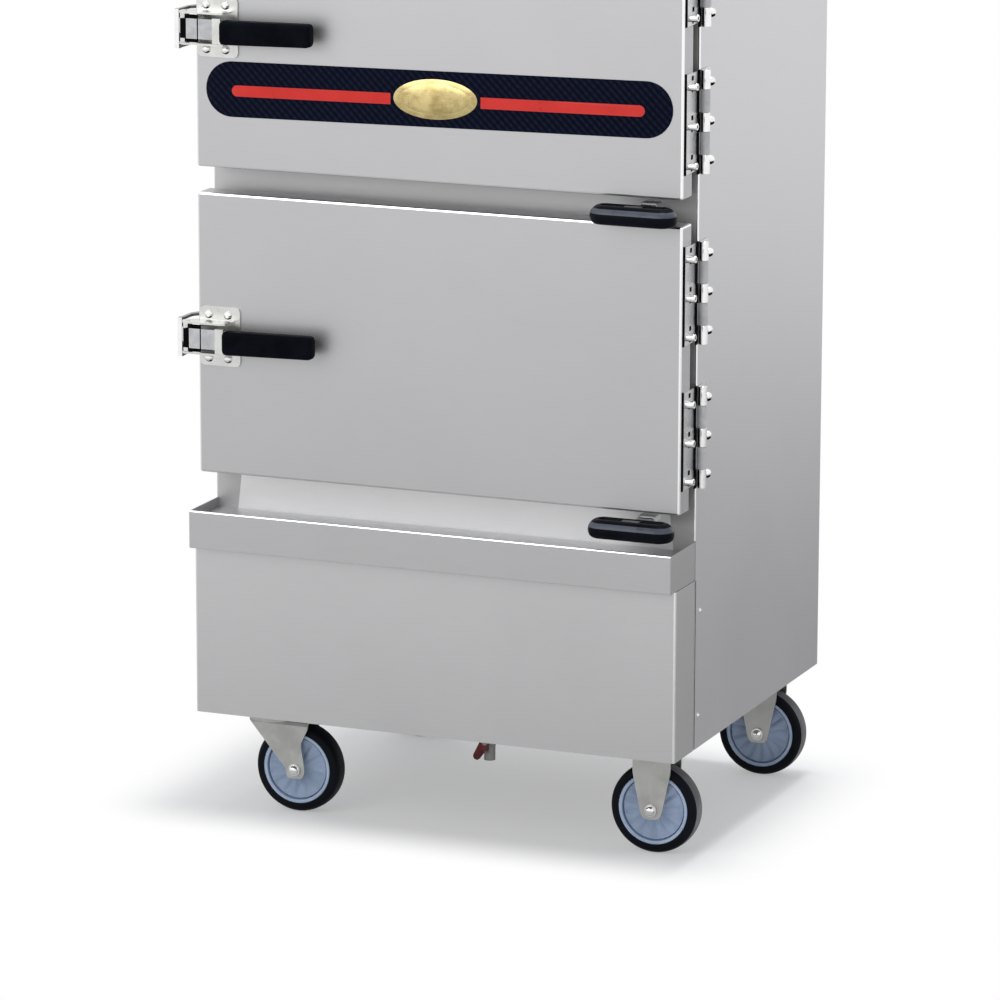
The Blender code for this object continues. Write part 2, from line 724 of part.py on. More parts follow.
def front_frame():
    """The face sheet with both chamber openings, the service opening and the damper slots."""
    outline = rectangle((-INNER_HALF, INNER_HALF), (FRAME_BOTTOM, PANEL_TOP))
    holes = []
    half = CHAMBER_WIDTH / 2 + SEAT
    for _, door_z in door_zs():
        low = door_z + DOOR_OVERLAP - SEAT
        high = low + CHAMBER_HEIGHT + 2 * SEAT
        holes.append(rectangle((-half, half), (low, high), CHAMBER_CORNER))
    service_z = BODY_BOTTOM + SERVICE_FOOT
    service = (service_z, service_z + SERVICE_HEIGHT)
    holes.append(rectangle((-SERVICE_HALF_WIDTH, SERVICE_HALF_WIDTH), service, SERVICE_CORNER))
    slot_half = DAMPER_STRIP_WIDTH / 2 + GUIDE_CLEARANCE / 2
    slot_rise = DAMPER_STRIP / 2 + GUIDE_CLEARANCE / 2
    for z in (UPPER_DAMPER_Z, LOWER_DAMPER_Z):
        holes.append(rectangle((DAMPER_X - slot_half, DAMPER_X + slot_half), (z - slot_rise, z + slot_rise)))
    frame = extrusion("face", [outline, *holes], 0, SHEET, "XZ")
    guides = [damper_guide(f"guide_{index}", z) for index, z in enumerate((UPPER_DAMPER_Z, LOWER_DAMPER_Z))]
    keep(joined(frame, *guides, solver="MANIFOLD"), "front_frame", "brushed_steel")


def damper_guide(name, z):
    """The bent arch on the face sheet that the damper's strip slides under."""
    half = (DAMPER_STRIP_WIDTH + GUIDE_WALL) / 2 + GUIDE_CLEARANCE
    crown = z + (DAMPER_STRIP + GUIDE_WALL) / 2 + GUIDE_CLEARANCE
    foot = z - DAMPER_STRIP / 2 - GUIDE_WALL
    corners = [
        (DAMPER_X - half, foot),
        (DAMPER_X - half, crown),
        (DAMPER_X + half, crown),
        (DAMPER_X + half, foot),
    ]
    path = filleted(corners, GUIDE_WALL)
    return folded_sheet(name, path, -GUIDE_REACH, SHEET * LEG_SHARE, "XZ", GUIDE_WALL)


def chamber_liner(name, door_z):
    """The open-fronted tray chamber with its pressed runners and the steam port in its floor."""
    low = door_z + DOOR_OVERLAP
    high = low + CHAMBER_HEIGHT
    half = CHAMBER_WIDTH / 2
    shell = open_box(name, (-half, half), (0, CHAMBER_DEPTH), (low, high), LINER_SHEET, CHAMBER_CORNER)
    runners = []
    for level in range(RUNNER_COUNT):
        z = low + RUNNER_FIRST + level * RUNNER_PITCH
        for side in (-1, 1):
            x = sorted((side * (half - LINER_SHEET / 2), side * (half - LINER_SHEET - RUNNER_REACH)))
            y = (RUNNER_END_GAP, CHAMBER_DEPTH - RUNNER_END_GAP)
            runners.append(box(f"{name}_runner_{level}_{side}", x, y, (z, z + RUNNER_HEIGHT)))
    joined(shell, *runners)
    port_x = (DAMPER_X - PORT_WIDTH, DAMPER_X - PORT_WIDTH / 2)
    port = box(name + "_port", port_x, (PORT_FRONT, PORT_FRONT + PORT_DEPTH), (low - OVERRUN, low + OVERRUN))
    cut(shell, port)
    keep(shell, name, "liner_steel")


def open_box(name, x, y, z, thickness, corner, opening=(0, -1, 0)):
    """A thin box of the given outer size, open on one side, its corners rounded."""
    bm = bmesh.new()
    bmesh.ops.create_cube(bm, size=1)
    bm.normal_update()
    missing = [face for face in bm.faces if face.normal.dot(Vector(opening)) > LEG_SHARE]
    bmesh.ops.delete(bm, geom=missing, context="FACES")
    size = Vector((x[1] - x[0], y[1] - y[0], z[1] - z[0]))
    bmesh.ops.scale(bm, vec=size, verts=bm.verts)
    mesh = bpy.data.meshes.new(name)
    bm.to_mesh(mesh)
    bm.free()
    middle = Vector((x[0] + x[1], y[0] + y[1], z[0] + z[1])) / 2
    obj = helper(name, mesh, middle)
    round_edges(obj, corner, SHOULDER_STEPS)
    thicken(obj, thickness, -1)
    return obj


def wall_insulation():
    """The wool that fills the walls round both chambers, with the steam ways and damper pockets."""
    x = (-INNER_HALF, INNER_HALF)
    y = (INNER_FRONT, LINING_BACK)
    wool = box("wool", x, y, (WOOL_BOTTOM, WOOL_TOP))
    cutters = []
    half = CHAMBER_WIDTH / 2 + SEAT
    for name, door_z in door_zs():
        low = door_z + DOOR_OVERLAP - SEAT
        high = low + CHAMBER_HEIGHT + 2 * SEAT
        z_damper = UPPER_DAMPER_Z if name == "upper" else LOWER_DAMPER_Z
        well = box(name + "_well", (-half, half), (-OVERRUN, CHAMBER_DEPTH + SEAT), (low, high))
        pocket_half = DAMPER_POCKET_WIDTH / 2
        pocket_x = (DAMPER_X - pocket_half, DAMPER_X + pocket_half)
        pocket_rise = DAMPER_POCKET_HEIGHT / 2
        pocket_z = (z_damper - pocket_rise, z_damper + pocket_rise)
        pocket = box(name + "_pocket", pocket_x, (-OVERRUN, DAMPER_POCKET_BACK), pocket_z)
        port_x = (DAMPER_X - PORT_WIDTH, DAMPER_X - PORT_WIDTH / 2)
        port_y = (PORT_FRONT, PORT_FRONT + PORT_DEPTH)
        port = box(name + "_steam_port", port_x, port_y, (z_damper, low + OVERRUN))
        cutters += [well, pocket, port]
    duct_right = INNER_HALF - DUCT_SIDE_MARGIN
    duct_y = (PORT_FRONT, PORT_FRONT + PORT_DEPTH)
    duct = box("duct", (duct_right - DUCT_WIDTH, duct_right), duct_y, (WOOL_BOTTOM - OVERRUN, UPPER_DAMPER_Z))
    keep(cut(wool, *cutters, duct), "wall_insulation", "insulation_wool")


# Base, tank and heater

def base_frame():
    """A welded ring of steel angle with two cross bars under the tank and a pad over each caster."""
    x = (-INNER_HALF, INNER_HALF)
    y = (INNER_FRONT, LINING_BACK)
    low = ANGLE_BOTTOM
    high = low + ANGLE_LEG
    flat = extrusion("angle_foot", [rectangle(x, y), shrunk(x, y, ANGLE_LEG)], low, low + ANGLE_WALL, "XY")
    ring = [rectangle(x, y), shrunk(x, y, ANGLE_WALL)]
    upright = extrusion("angle_leg", ring, low + ANGLE_WALL / 2, high, "XY")
    pieces = [upright]
    for index, share in enumerate((CROSS_BAR_FRONT_SHARE, CROSS_BAR_REAR_SHARE)):
        middle = BODY_DEPTH * share
        bar_x = (x[0] + ANGLE_WALL / 2, x[1] - ANGLE_WALL / 2)
        bar_y = (middle - CROSS_BAR_WIDTH / 2, middle + CROSS_BAR_WIDTH / 2)
        pieces.append(box(f"cross_bar_{index}", bar_x, bar_y, (low, high)))
    reach = HALF_WIDTH - BOTTOM_FLANGE - OVERRUN / 2
    for side in (-1, 1):
        pad_x = sorted((side * reach, side * (reach - PAD_LENGTH)))
        for row, pad_y in enumerate(((y[0], y[0] + PAD_DEPTH), (y[1] - PAD_DEPTH, y[1]))):
            pad = box(f"pad_{side}_{row}", pad_x, pad_y, (BODY_BOTTOM, BODY_BOTTOM + ANGLE_WALL))
            pieces.append(pad)
    keep(joined(flat, *pieces), "base_frame", "base_steel")


def shrunk(x, y, inset):
    """The outline of a rectangle that lies this far inside another."""
    return rectangle((x[0] + inset, x[1] - inset), (y[0] + inset, y[1] - inset))


def front_skirt():
    """The folded apron round the base, with flanges that lie on the body's front."""
    front = SHEET / 2 - SKIRT_REACH
    rear = -SEAT - SHEET / 2
    wall = HALF_WIDTH - SHEET / 2
    flange = HALF_WIDTH - SKIRT_REAR_FLANGE
    corners = [(-flange, rear), (-wall, rear), (-wall, front), (wall, front), (wall, rear), (flange, rear)]
    top = SKIRT_TOP - SEAT
    skirt = folded_sheet("skirt", filleted(corners, BEND), BODY_BOTTOM, top, "XY", SHEET)
    foot_x = (-wall + BEND + SHEET, wall - BEND - SHEET)
    foot = box("skirt_foot", foot_x, (front, front + SKIRT_FOOT_FLANGE), (BODY_BOTTOM, BODY_BOTTOM + SHEET))
    keep(joined(skirt, foot), "front_skirt", "brushed_steel")


def drip_gutter():
    """The drip tray under the doors: floor, rolled lip, deep front apron and closed ends."""
    rear = -SEAT - SHEET / 2
    apron = SHEET / 2 - GUTTER_REACH
    lip = apron + GUTTER_HEM
    top = GUTTER_TOP - SHEET / 2
    foot = SKIRT_TOP + SHEET / 2
    floor = GUTTER_FLOOR
    corners = [
        (rear, floor - GUTTER_REAR_FLANGE),
        (rear, floor),
        (lip, floor),
        (lip, top),
        (apron, top),
        (apron, foot),
        (apron + GUTTER_RETURN, foot),
    ]
    half = HALF_WIDTH - GUTTER_END_INSET
    path = filleted(corners, GUTTER_BEND)
    tray = folded_sheet("tray", path, SHEET / 2 - half, half - SHEET / 2, "YZ", SHEET)
    ends = []
    inset = SHEET / 4
    for side in (-1, 1):
        outline = filleted(
            [
                (-SEAT - inset, SKIRT_TOP + inset, 0),
                (-SEAT - inset, GUTTER_TOP - inset, 0),
                (inset - GUTTER_REACH, GUTTER_TOP - inset, GUTTER_BEND),
                (inset - GUTTER_REACH, SKIRT_TOP + inset, GUTTER_BEND),
            ],
            GUTTER_BEND,
            closed=True,
        )
        low, high = sorted((side * half, side * (half - SHEET)))
        ends.append(extrusion(f"tray_end_{side}", [outline], low, high, "YZ"))
    keep(joined(tray, *ends), "drip_gutter", "brushed_steel")


def water_tank():
    """The open tank with a rim that carries the wall wool, and welded inlet and drain stubs."""
    x = (-TANK_HALF_WIDTH, TANK_HALF_WIDTH)
    y = (TANK_FRONT, TANK_BACK)
    tank = open_box("tank", x, y, (TANK_BOTTOM, TANK_TOP), SHEET, TANK_ROUNDING, (0, 0, 1))
    outer = rectangle((x[0] - TANK_RIM, x[1] + TANK_RIM), (INNER_FRONT, y[1] + TANK_RIM))
    rim = extrusion("rim", [outer, shrunk(x, y, SHEET / 2)], TANK_TOP - SHEET, TANK_TOP, "XY")
    inlet_root = (INLET_X, TANK_BACK - SHEET / 2, INLET_Z)
    inlet_tip = (INLET_X, INLET_TIP, INLET_Z)
    inlet = rod("inlet", inlet_root, inlet_tip, STUB_RADIUS, BARREL_SIDES)
    inlet_bore = rod(
        "inlet_bore",
        (INLET_X, TANK_BACK - OVERRUN, INLET_Z),
        (INLET_X, INLET_TIP + OVERRUN, INLET_Z),
        STUB_BORE,
        BARREL_SIDES,
    )
    drain_tip = TANK_BOTTOM - DRAIN_STUB_DROP
    drain_root = (DRAIN_X, DRAIN_Y, TANK_BOTTOM + SHEET / 2)
    drain = rod("drain", drain_root, (DRAIN_X, DRAIN_Y, drain_tip), STUB_RADIUS, BARREL_SIDES)
    drain_bore = rod(
        "drain_bore",
        (DRAIN_X, DRAIN_Y, TANK_BOTTOM + OVERRUN),
        (DRAIN_X, DRAIN_Y, drain_tip - OVERRUN),
        STUB_BORE,
        BARREL_SIDES,
    )
    heater_hole = rod(
        "heater_hole",
        (HEATER_X, TANK_FRONT - OVERRUN, HEATER_Z),
        (HEATER_X, TANK_FRONT + OVERRUN, HEATER_Z),
        HEATER_HOLE_RADIUS,
    )
    joined(tank, rim, inlet, drain)
    keep(cut(tank, inlet_bore, drain_bore, heater_hole), "water_tank", "tank_steel")


def round_tube(name, points, radius, closed=False, resolution=2):
    """A round bar along points, made a mesh with its end caps welded."""
    curve = bpy.data.curves.new(name, "CURVE")
    curve.dimensions = "3D"
    curve.bevel_depth = radius
    curve.bevel_resolution = resolution
    curve.use_fill_caps = not closed
    spline = curve.splines.new("POLY")
    spline.points.add(len(points[1:]))
    for point, place in zip(spline.points, points):
        point.co = Vector(place).to_4d()
    spline.use_cyclic_u = closed
    line = bpy.data.objects.new(name, curve)
    mesh = bpy.data.meshes.new_from_object(line)
    bpy.data.objects.remove(line)
    weld(mesh)
    return helper(name, mesh)


def heating_element():
    """The bolted heater: a flange on the tank's front wall, a terminal cap and two hairpin tubes."""
    seat_y = TANK_FRONT - SEAT
    front_y = seat_y - HEATER_FLANGE
    flange = rod("flange", (HEATER_X, front_y, HEATER_Z), (HEATER_X, seat_y, HEATER_Z), HEATER_FLANGE_RADIUS)
    cap_root = (HEATER_X, front_y + HEATER_FLANGE / 2, HEATER_Z)
    cap_tip = (HEATER_X, front_y - HEATER_CAP_LENGTH, HEATER_Z)
    cap = rod("cap", cap_root, cap_tip, HEATER_CAP_RADIUS, crown=HEATER_TUBE_RADIUS)
    half = HEATER_TUBE_PITCH / 2
    hairpins = []
    for side in (-1, 1):
        z = HEATER_Z + side * half * LEG_SHARE
        root = seat_y - HEATER_FLANGE / 2
        bend_y = seat_y + HEATER_REACH
        points = [(HEATER_X - half, root, z)]
        for step in range(HAIRPIN_STEPS + 1):
            turn = math.pi * step / HAIRPIN_STEPS
            points.append((HEATER_X - half * math.cos(turn), bend_y + half * math.sin(turn), z))
        points.append((HEATER_X + half, root, z))
        hairpins.append(round_tube(f"hairpin_{side}", points, HEATER_TUBE_RADIUS, resolution=1))
    keep(joined(flange, cap, *hairpins), "heating_element", "bright_steel")


def cable_gland():
    """The gland in the rear sheet for the supply cord: a threaded bush with its nut outside."""
    profile = [
        (GLAND_THREAD_RADIUS, GLAND_INSIDE),
        (GLAND_THREAD_RADIUS, 0),
        (GLAND_NUT_RADIUS, 0),
        (GLAND_NUT_RADIUS, -GLAND_NUT_LENGTH * LEG_SHARE),
        (GLAND_THREAD_RADIUS, -GLAND_NUT_LENGTH),
        (GLAND_BORE_RADIUS, -GLAND_NUT_LENGTH),
        (GLAND_BORE_RADIUS, GLAND_INSIDE),
    ]
    place = (GLAND_X, INNER_BACK + SEAT, GLAND_Z)
    gland = turned("gland", profile, place, "XZ", BARREL_SIDES, closed=True)
    keep(gland, "cable_gland", "gland_black")


def drain_valve():
    """The ball valve under the tank's drain stub, with its quarter-turn lever on a stem."""
    top = TANK_BOTTOM - DRAIN_STUB_DROP - SEAT
    nut_low = top - VALVE_HEX_HEIGHT
    nut = rod("valve_nut", (DRAIN_X, DRAIN_Y, nut_low), (DRAIN_X, DRAIN_Y, top), VALVE_HEX_RADIUS, 6)
    ball_low = VALVE_STEM_Z - VALVE_RADIUS
    profile = [
        (0, nut_low + OVERRUN),
        (VALVE_SPOUT_RADIUS, nut_low + OVERRUN),
        (VALVE_SPOUT_RADIUS, VALVE_STEM_Z + VALVE_RADIUS),
        (VALVE_RADIUS, VALVE_STEM_Z + VALVE_RADIUS * LEG_SHARE),
        (VALVE_RADIUS, VALVE_STEM_Z - VALVE_RADIUS * LEG_SHARE),
        (VALVE_SPOUT_RADIUS, ball_low),
        (VALVE_SPOUT_RADIUS, VALVE_BOTTOM),
        (VALVE_SPOUT_BORE, VALVE_BOTTOM),
        (VALVE_SPOUT_BORE, ball_low),
        (0, ball_low),
    ]
    body = turned("valve", profile, (DRAIN_X, DRAIN_Y, 0), steps=BARREL_SIDES)
    stem_front = DRAIN_Y - VALVE_RADIUS - VALVE_STEM_LENGTH
    stem_root = (DRAIN_X, DRAIN_Y - VALVE_RADIUS / 2, VALVE_STEM_Z)
    stem = rod("stem", stem_root, (DRAIN_X, stem_front, VALVE_STEM_Z), VALVE_STEM_RADIUS, SMALL_SIDES)
    keep(joined(body, nut, stem), "drain_valve_body", "valve_grey")

    axis = joint_empty("drain_lever_axis", (DRAIN_X, stem_front, VALVE_STEM_Z))
    half = LEVER_WIDTH / 2
    outline = filleted(
        [
            (-LEVER_HUB_RADIUS, LEVER_TAIL, LEVER_HUB_RADIUS),
            (LEVER_HUB_RADIUS, LEVER_TAIL, LEVER_HUB_RADIUS),
            (LEVER_HUB_RADIUS, -LEVER_HUB_RADIUS, LEVER_HUB_RADIUS),
            (half, -LEVER_LENGTH, half),
            (-half, -LEVER_LENGTH, half),
            (-LEVER_HUB_RADIUS, -LEVER_HUB_RADIUS, LEVER_HUB_RADIUS),
        ],
        half,
        closed=True,
    )
    hole = circle(0, 0, VALVE_STEM_RADIUS + SEAT * 2, BARREL_SIDES)
    lever = extrusion("lever", [outline, hole], -LEVER_THICKNESS / 2, LEVER_THICKNESS / 2, "XZ")
    lever.location = (DRAIN_X, stem_front + LEVER_THICKNESS, VALVE_STEM_Z)
    lever.rotation_euler = (0, LEVER_SLANT, 0)
    keep(lever, "drain_valve_lever", "lever_red", axis)


# Doors, hinges and latches

def door(name, door_z):
    """One door with all that it carries, hung on an empty on its hinge axis."""
    axis = joint_empty(name + "_door_axis", (HINGE_X, HINGE_Y, door_z))
    door_shell(name, door_z, axis)
    door_liner(name, door_z, axis)
    door_gasket(name, door_z, axis)
    bottom = door_z + HINGE_END_MARGIN
    top = door_z + DOOR_HEIGHT - HINGE_END_MARGIN - HINGE_LENGTH
    for place, low in (("bottom", bottom), ("top", top)):
        hinge_fixed_leaf(f"{name}_{place}_hinge_fixed_leaf", low)
        hinge_door_leaf(f"{name}_{place}_hinge_door_leaf", low, axis)
    middle = door_z + LATCH_HEIGHT_ON_DOOR
    latch_bracket(name, middle, axis)
    latch_lever(name, middle, axis)
    latch_keeper(name, middle)


def door_shell(name, door_z, axis):
    """The folded outer pan of a door, with its lip turned in at the back."""
    size = Vector((DOOR_RIGHT - DOOR_LEFT, DOOR_THICKNESS, DOOR_HEIGHT))
    bm = bmesh.new()
    bmesh.ops.create_cube(bm, size=1)
    bmesh.ops.scale(bm, vec=size, verts=bm.verts)
    bm.normal_update()
    back = [face for face in bm.faces if face.normal.y > LEG_SHARE]
    bmesh.ops.inset_region(bm, faces=back, thickness=DOOR_LIP, use_even_offset=True)
    bmesh.ops.delete(bm, geom=back, context="FACES")
    mesh = bpy.data.meshes.new(name)
    bm.to_mesh(mesh)
    bm.free()
    middle = ((DOOR_LEFT + DOOR_RIGHT) / 2, (DOOR_FRONT + DOOR_BACK) / 2, door_z + DOOR_HEIGHT / 2)
    shell = helper("shell", mesh, middle)
    round_edges(shell, DOOR_ROUNDING, SHOULDER_STEPS)
    thicken(shell, SHEET, -1)
    keep(shell, name + "_door_shell", "brushed_steel", axis)


def door_liner(name, door_z, axis):
    """The inner sheet of a door with its pressed field, which stands into the chamber's mouth."""
    width = DOOR_RIGHT - DOOR_LEFT - 2 * LINER_MARGIN
    height = DOOR_HEIGHT - 2 * LINER_MARGIN
    bm = bmesh.new()
    bmesh.ops.create_grid(bm, x_segments=1, y_segments=1, size=1)
    bmesh.ops.scale(bm, vec=(width / 2, height / 2, 1), verts=bm.verts)
    field = list(bm.faces)
    bmesh.ops.inset_region(bm, faces=field, thickness=FIELD_MARGIN, use_boundary=True, use_even_offset=True)
    bmesh.ops.inset_region(bm, faces=field, thickness=FIELD_SLOPE, depth=-FIELD_RISE, use_even_offset=True)
    mesh = bpy.data.meshes.new(name)
    bm.to_mesh(mesh)
    bm.free()
    mesh.transform(plane_turn("XZ").to_4x4())
    middle_y = DOOR_BACK + SEAT + LINER_SHEET / 2
    liner = helper("door_liner", mesh, ((DOOR_LEFT + DOOR_RIGHT) / 2, middle_y, door_z + DOOR_HEIGHT / 2))
    round_edges(liner, FIELD_ROUNDING, angle=FIELD_ANGLE)
    thicken(liner, LINER_SHEET, 0)
    keep(liner, name + "_door_liner", "liner_steel", axis)


def door_gasket(name, door_z, axis):
    """The round rubber seal that runs round the chamber's mouth on the door's inner sheet."""
    inset = GASKET_MARGIN + GASKET_RADIUS
    x = (DOOR_LEFT + inset, DOOR_RIGHT - inset)
    z = (door_z + inset, door_z + DOOR_HEIGHT - inset)
    middle_y = -SEAT - GASKET_RADIUS
    points = [(a, middle_y, b) for a, b in rectangle(x, z, GASKET_CORNER)]
    gasket = round_tube("gasket", points, GASKET_RADIUS, closed=True, resolution=1)
    keep(gasket, name + "_door_gasket", "gasket_rubber", axis)


def knuckle_zs(low):
    """The heights of a hinge's five knuckles, as (fixed leaf's, door leaf's)."""
    door_knuckle = (HINGE_LENGTH - 3 * HINGE_KNUCKLE_CABINET) / 2
    pitch = HINGE_KNUCKLE_CABINET + door_knuckle
    half_space = HINGE_KNUCKLE_SPACE / 2
    fixed = []
    swinging = []
    for index in range(3):
        start = low + index * pitch
        fixed.append((start + half_space, start + HINGE_KNUCKLE_CABINET - half_space))
    for index in range(2):
        start = low + index * pitch + HINGE_KNUCKLE_CABINET
        swinging.append((start + half_space, start + door_knuckle - half_space))
    return fixed, swinging


def hinge_bolts(name, low, x, y, length):
    """The three cap bolts of one hinge leaf, standing out to the right."""
    bolts = []
    for index in (-1, 0, 1):
        z = low + HINGE_LENGTH / 2 + index * HINGE_BOLT_PITCH
        start = (x - HINGE_LEAF / 2, y, z)
        tip = (x + length, y, z)
        bolts.append(rod(f"{name}_bolt_{index}", start, tip, HINGE_BOLT_RADIUS, BOLT_SIDES, HINGE_BOLT_CROWN))
    return gathered(name + "_bolts", bolts)


def hinge_fixed_leaf(name, low):
    """The leaf on the side panel, with three knuckles, the pin and its bolts."""
    fixed, _ = knuckle_zs(low)
    face = HALF_WIDTH + SEAT
    x = (face, face + HINGE_LEAF)
    cutback = HINGE_Y + HINGE_BARREL_RADIUS + HINGE_LEAF_CUTBACK
    leaf = box(name, x, (cutback, HINGE_LEAF_REACH), (low, low + HINGE_LENGTH))
    tabs = [box(f"{name}_tab_{z[0]}", x, (HINGE_Y, cutback + HINGE_LEAF), z) for z in fixed]
    barrels = [hinge_rod(f"{name}_knuckle_{z[0]}", z, HINGE_BARREL_RADIUS) for z in fixed]
    pin_z = (low + HINGE_LEAF, low + HINGE_LENGTH - HINGE_LEAF)
    pin = hinge_rod(name + "_pin", pin_z, HINGE_PIN_RADIUS, SMALL_SIDES)
    bolts = hinge_bolts(name, low, x[1], HINGE_CABINET_BOLT_BACK, HINGE_CABINET_BOLT_LENGTH)
    joined(leaf, gathered(name + "_tabs", tabs), gathered(name + "_barrels", barrels), pin, bolts)
    keep(leaf, name, "bright_steel")


def hinge_rod(name, z, radius, sides=BARREL_SIDES):
    """A round bar on the hinge axis."""
    return rod(name, (HINGE_X, HINGE_Y, z[0]), (HINGE_X, HINGE_Y, z[1]), radius, sides)


def hinge_door_leaf(name, low, axis):
    """The leaf on the door's edge, with two joggled tabs that end in bored knuckles, and its bolts."""
    _, swinging = knuckle_zs(low)
    on_door = DOOR_RIGHT + SEAT + HINGE_LEAF / 2
    at_barrel = HINGE_X - HINGE_BARREL_RADIUS + HINGE_LEAF / 2
    corners = [
        (on_door, -HINGE_DOOR_LEAF_FRONT),
        (on_door, -HINGE_JOGGLE_START),
        (at_barrel, -HINGE_JOGGLE_END),
        (at_barrel, HINGE_Y),
    ]
    leaf = folded_sheet(name, filleted(corners, BEND), low, low + HINGE_LENGTH, "XY", HINGE_LEAF)
    window_x = (on_door - HINGE_LEAF, at_barrel + HINGE_LEAF)
    window_y = (-HINGE_DOOR_LEAF_END, HINGE_Y + OVERRUN)
    window_zs = (
        (low - OVERRUN, swinging[0][0]),
        (swinging[0][1], swinging[1][0]),
        (swinging[1][1], low + HINGE_LENGTH + OVERRUN),
    )
    windows = [box(f"{name}_window_{z[0]}", window_x, window_y, z) for z in window_zs]
    cut(leaf, gathered(name + "_windows", windows))
    barrels = [hinge_rod(f"{name}_knuckle_{z[0]}", z, HINGE_BARREL_RADIUS) for z in swinging]
    face = on_door + HINGE_LEAF / 2
    bolts = hinge_bolts(name, low, face, -HINGE_DOOR_BOLT_FRONT, HINGE_DOOR_BOLT_LENGTH)
    joined(leaf, gathered(name + "_barrels", barrels), bolts)
    bore_radius = HINGE_PIN_RADIUS + HINGE_BORE_CLEARANCE
    bore = hinge_rod(name + "_bore", (low - OVERRUN, low + HINGE_LENGTH + OVERRUN), bore_radius, SMALL_SIDES)
    keep(cut(leaf, bore), name, "bright_steel", axis)


def latch_bracket(name, middle, axis):
    """The bracket bolted to the door's face: plate, two ears and the pin between them."""
    back = DOOR_FRONT - SEAT
    front = back - LATCH_PLATE
    left = DOOR_LEFT + LATCH_PLATE_LEFT
    right = left + LATCH_PLATE_WIDTH
    half = LATCH_PLATE_HEIGHT / 2
    outline = rectangle((left, right), (middle - half, middle + half), LATCH_PLATE_CORNER)
    plate = extrusion("latch_plate", [outline], front, back, "XZ")
    bolts = []
    for bolt_x in (left + LATCH_BOLT_INSET, right - LATCH_BOLT_INSET - LATCH_BOLT_RADIUS):
        for side in (-1, 1):
            z = middle + side * (half - LATCH_BOLT_INSET + LATCH_PLATE)
            root = (bolt_x, back - LATCH_PLATE / 2, z)
            tip = (bolt_x, front - LATCH_BOLT_RISE, z)
            bolts.append(rod("latch_bolt", root, tip, LATCH_BOLT_RADIUS, BOLT_SIDES, LATCH_BOLT_RISE / 2))
    inside = front + LATCH_PLATE / 2
    ears = []
    radius = LATCH_EAR_RADIUS
    for side in (-1, 1):
        outline = filleted(
            [
                (left + LATCH_EAR_WIDTH, inside, 0),
                (left, inside, 0),
                (LATCH_PIN_X - radius, LATCH_PIN_Y + radius, radius),
                (LATCH_PIN_X - radius, LATCH_PIN_Y - radius, radius),
                (left + LATCH_EAR_WIDTH, LATCH_PIN_Y - radius, LATCH_EAR_CORNER),
            ],
            radius,
            closed=True,
        )
        z = middle + side * LATCH_EAR_PITCH / 2
        ears.append(extrusion(f"ear_{side}", [outline], z - LATCH_EAR / 2, z + LATCH_EAR / 2, "XY"))
    reach = LATCH_EAR_PITCH / 2 + LATCH_EAR
    pin = latch_rod("latch_pin", middle, reach, LATCH_PIN_RADIUS)
    joined(plate, gathered("latch_bolts", bolts), *ears, pin)
    keep(plate, name + "_latch_bracket", "zinc_plate", axis)


def latch_rod(name, middle, reach, radius, sides=BARREL_SIDES):
    """A round bar on the latch's pin axis, reaching as far above as below the middle."""
    low = (LATCH_PIN_X, LATCH_PIN_Y, middle - reach)
    high = (LATCH_PIN_X, LATCH_PIN_Y, middle + reach)
    return rod(name, low, high, radius, sides)


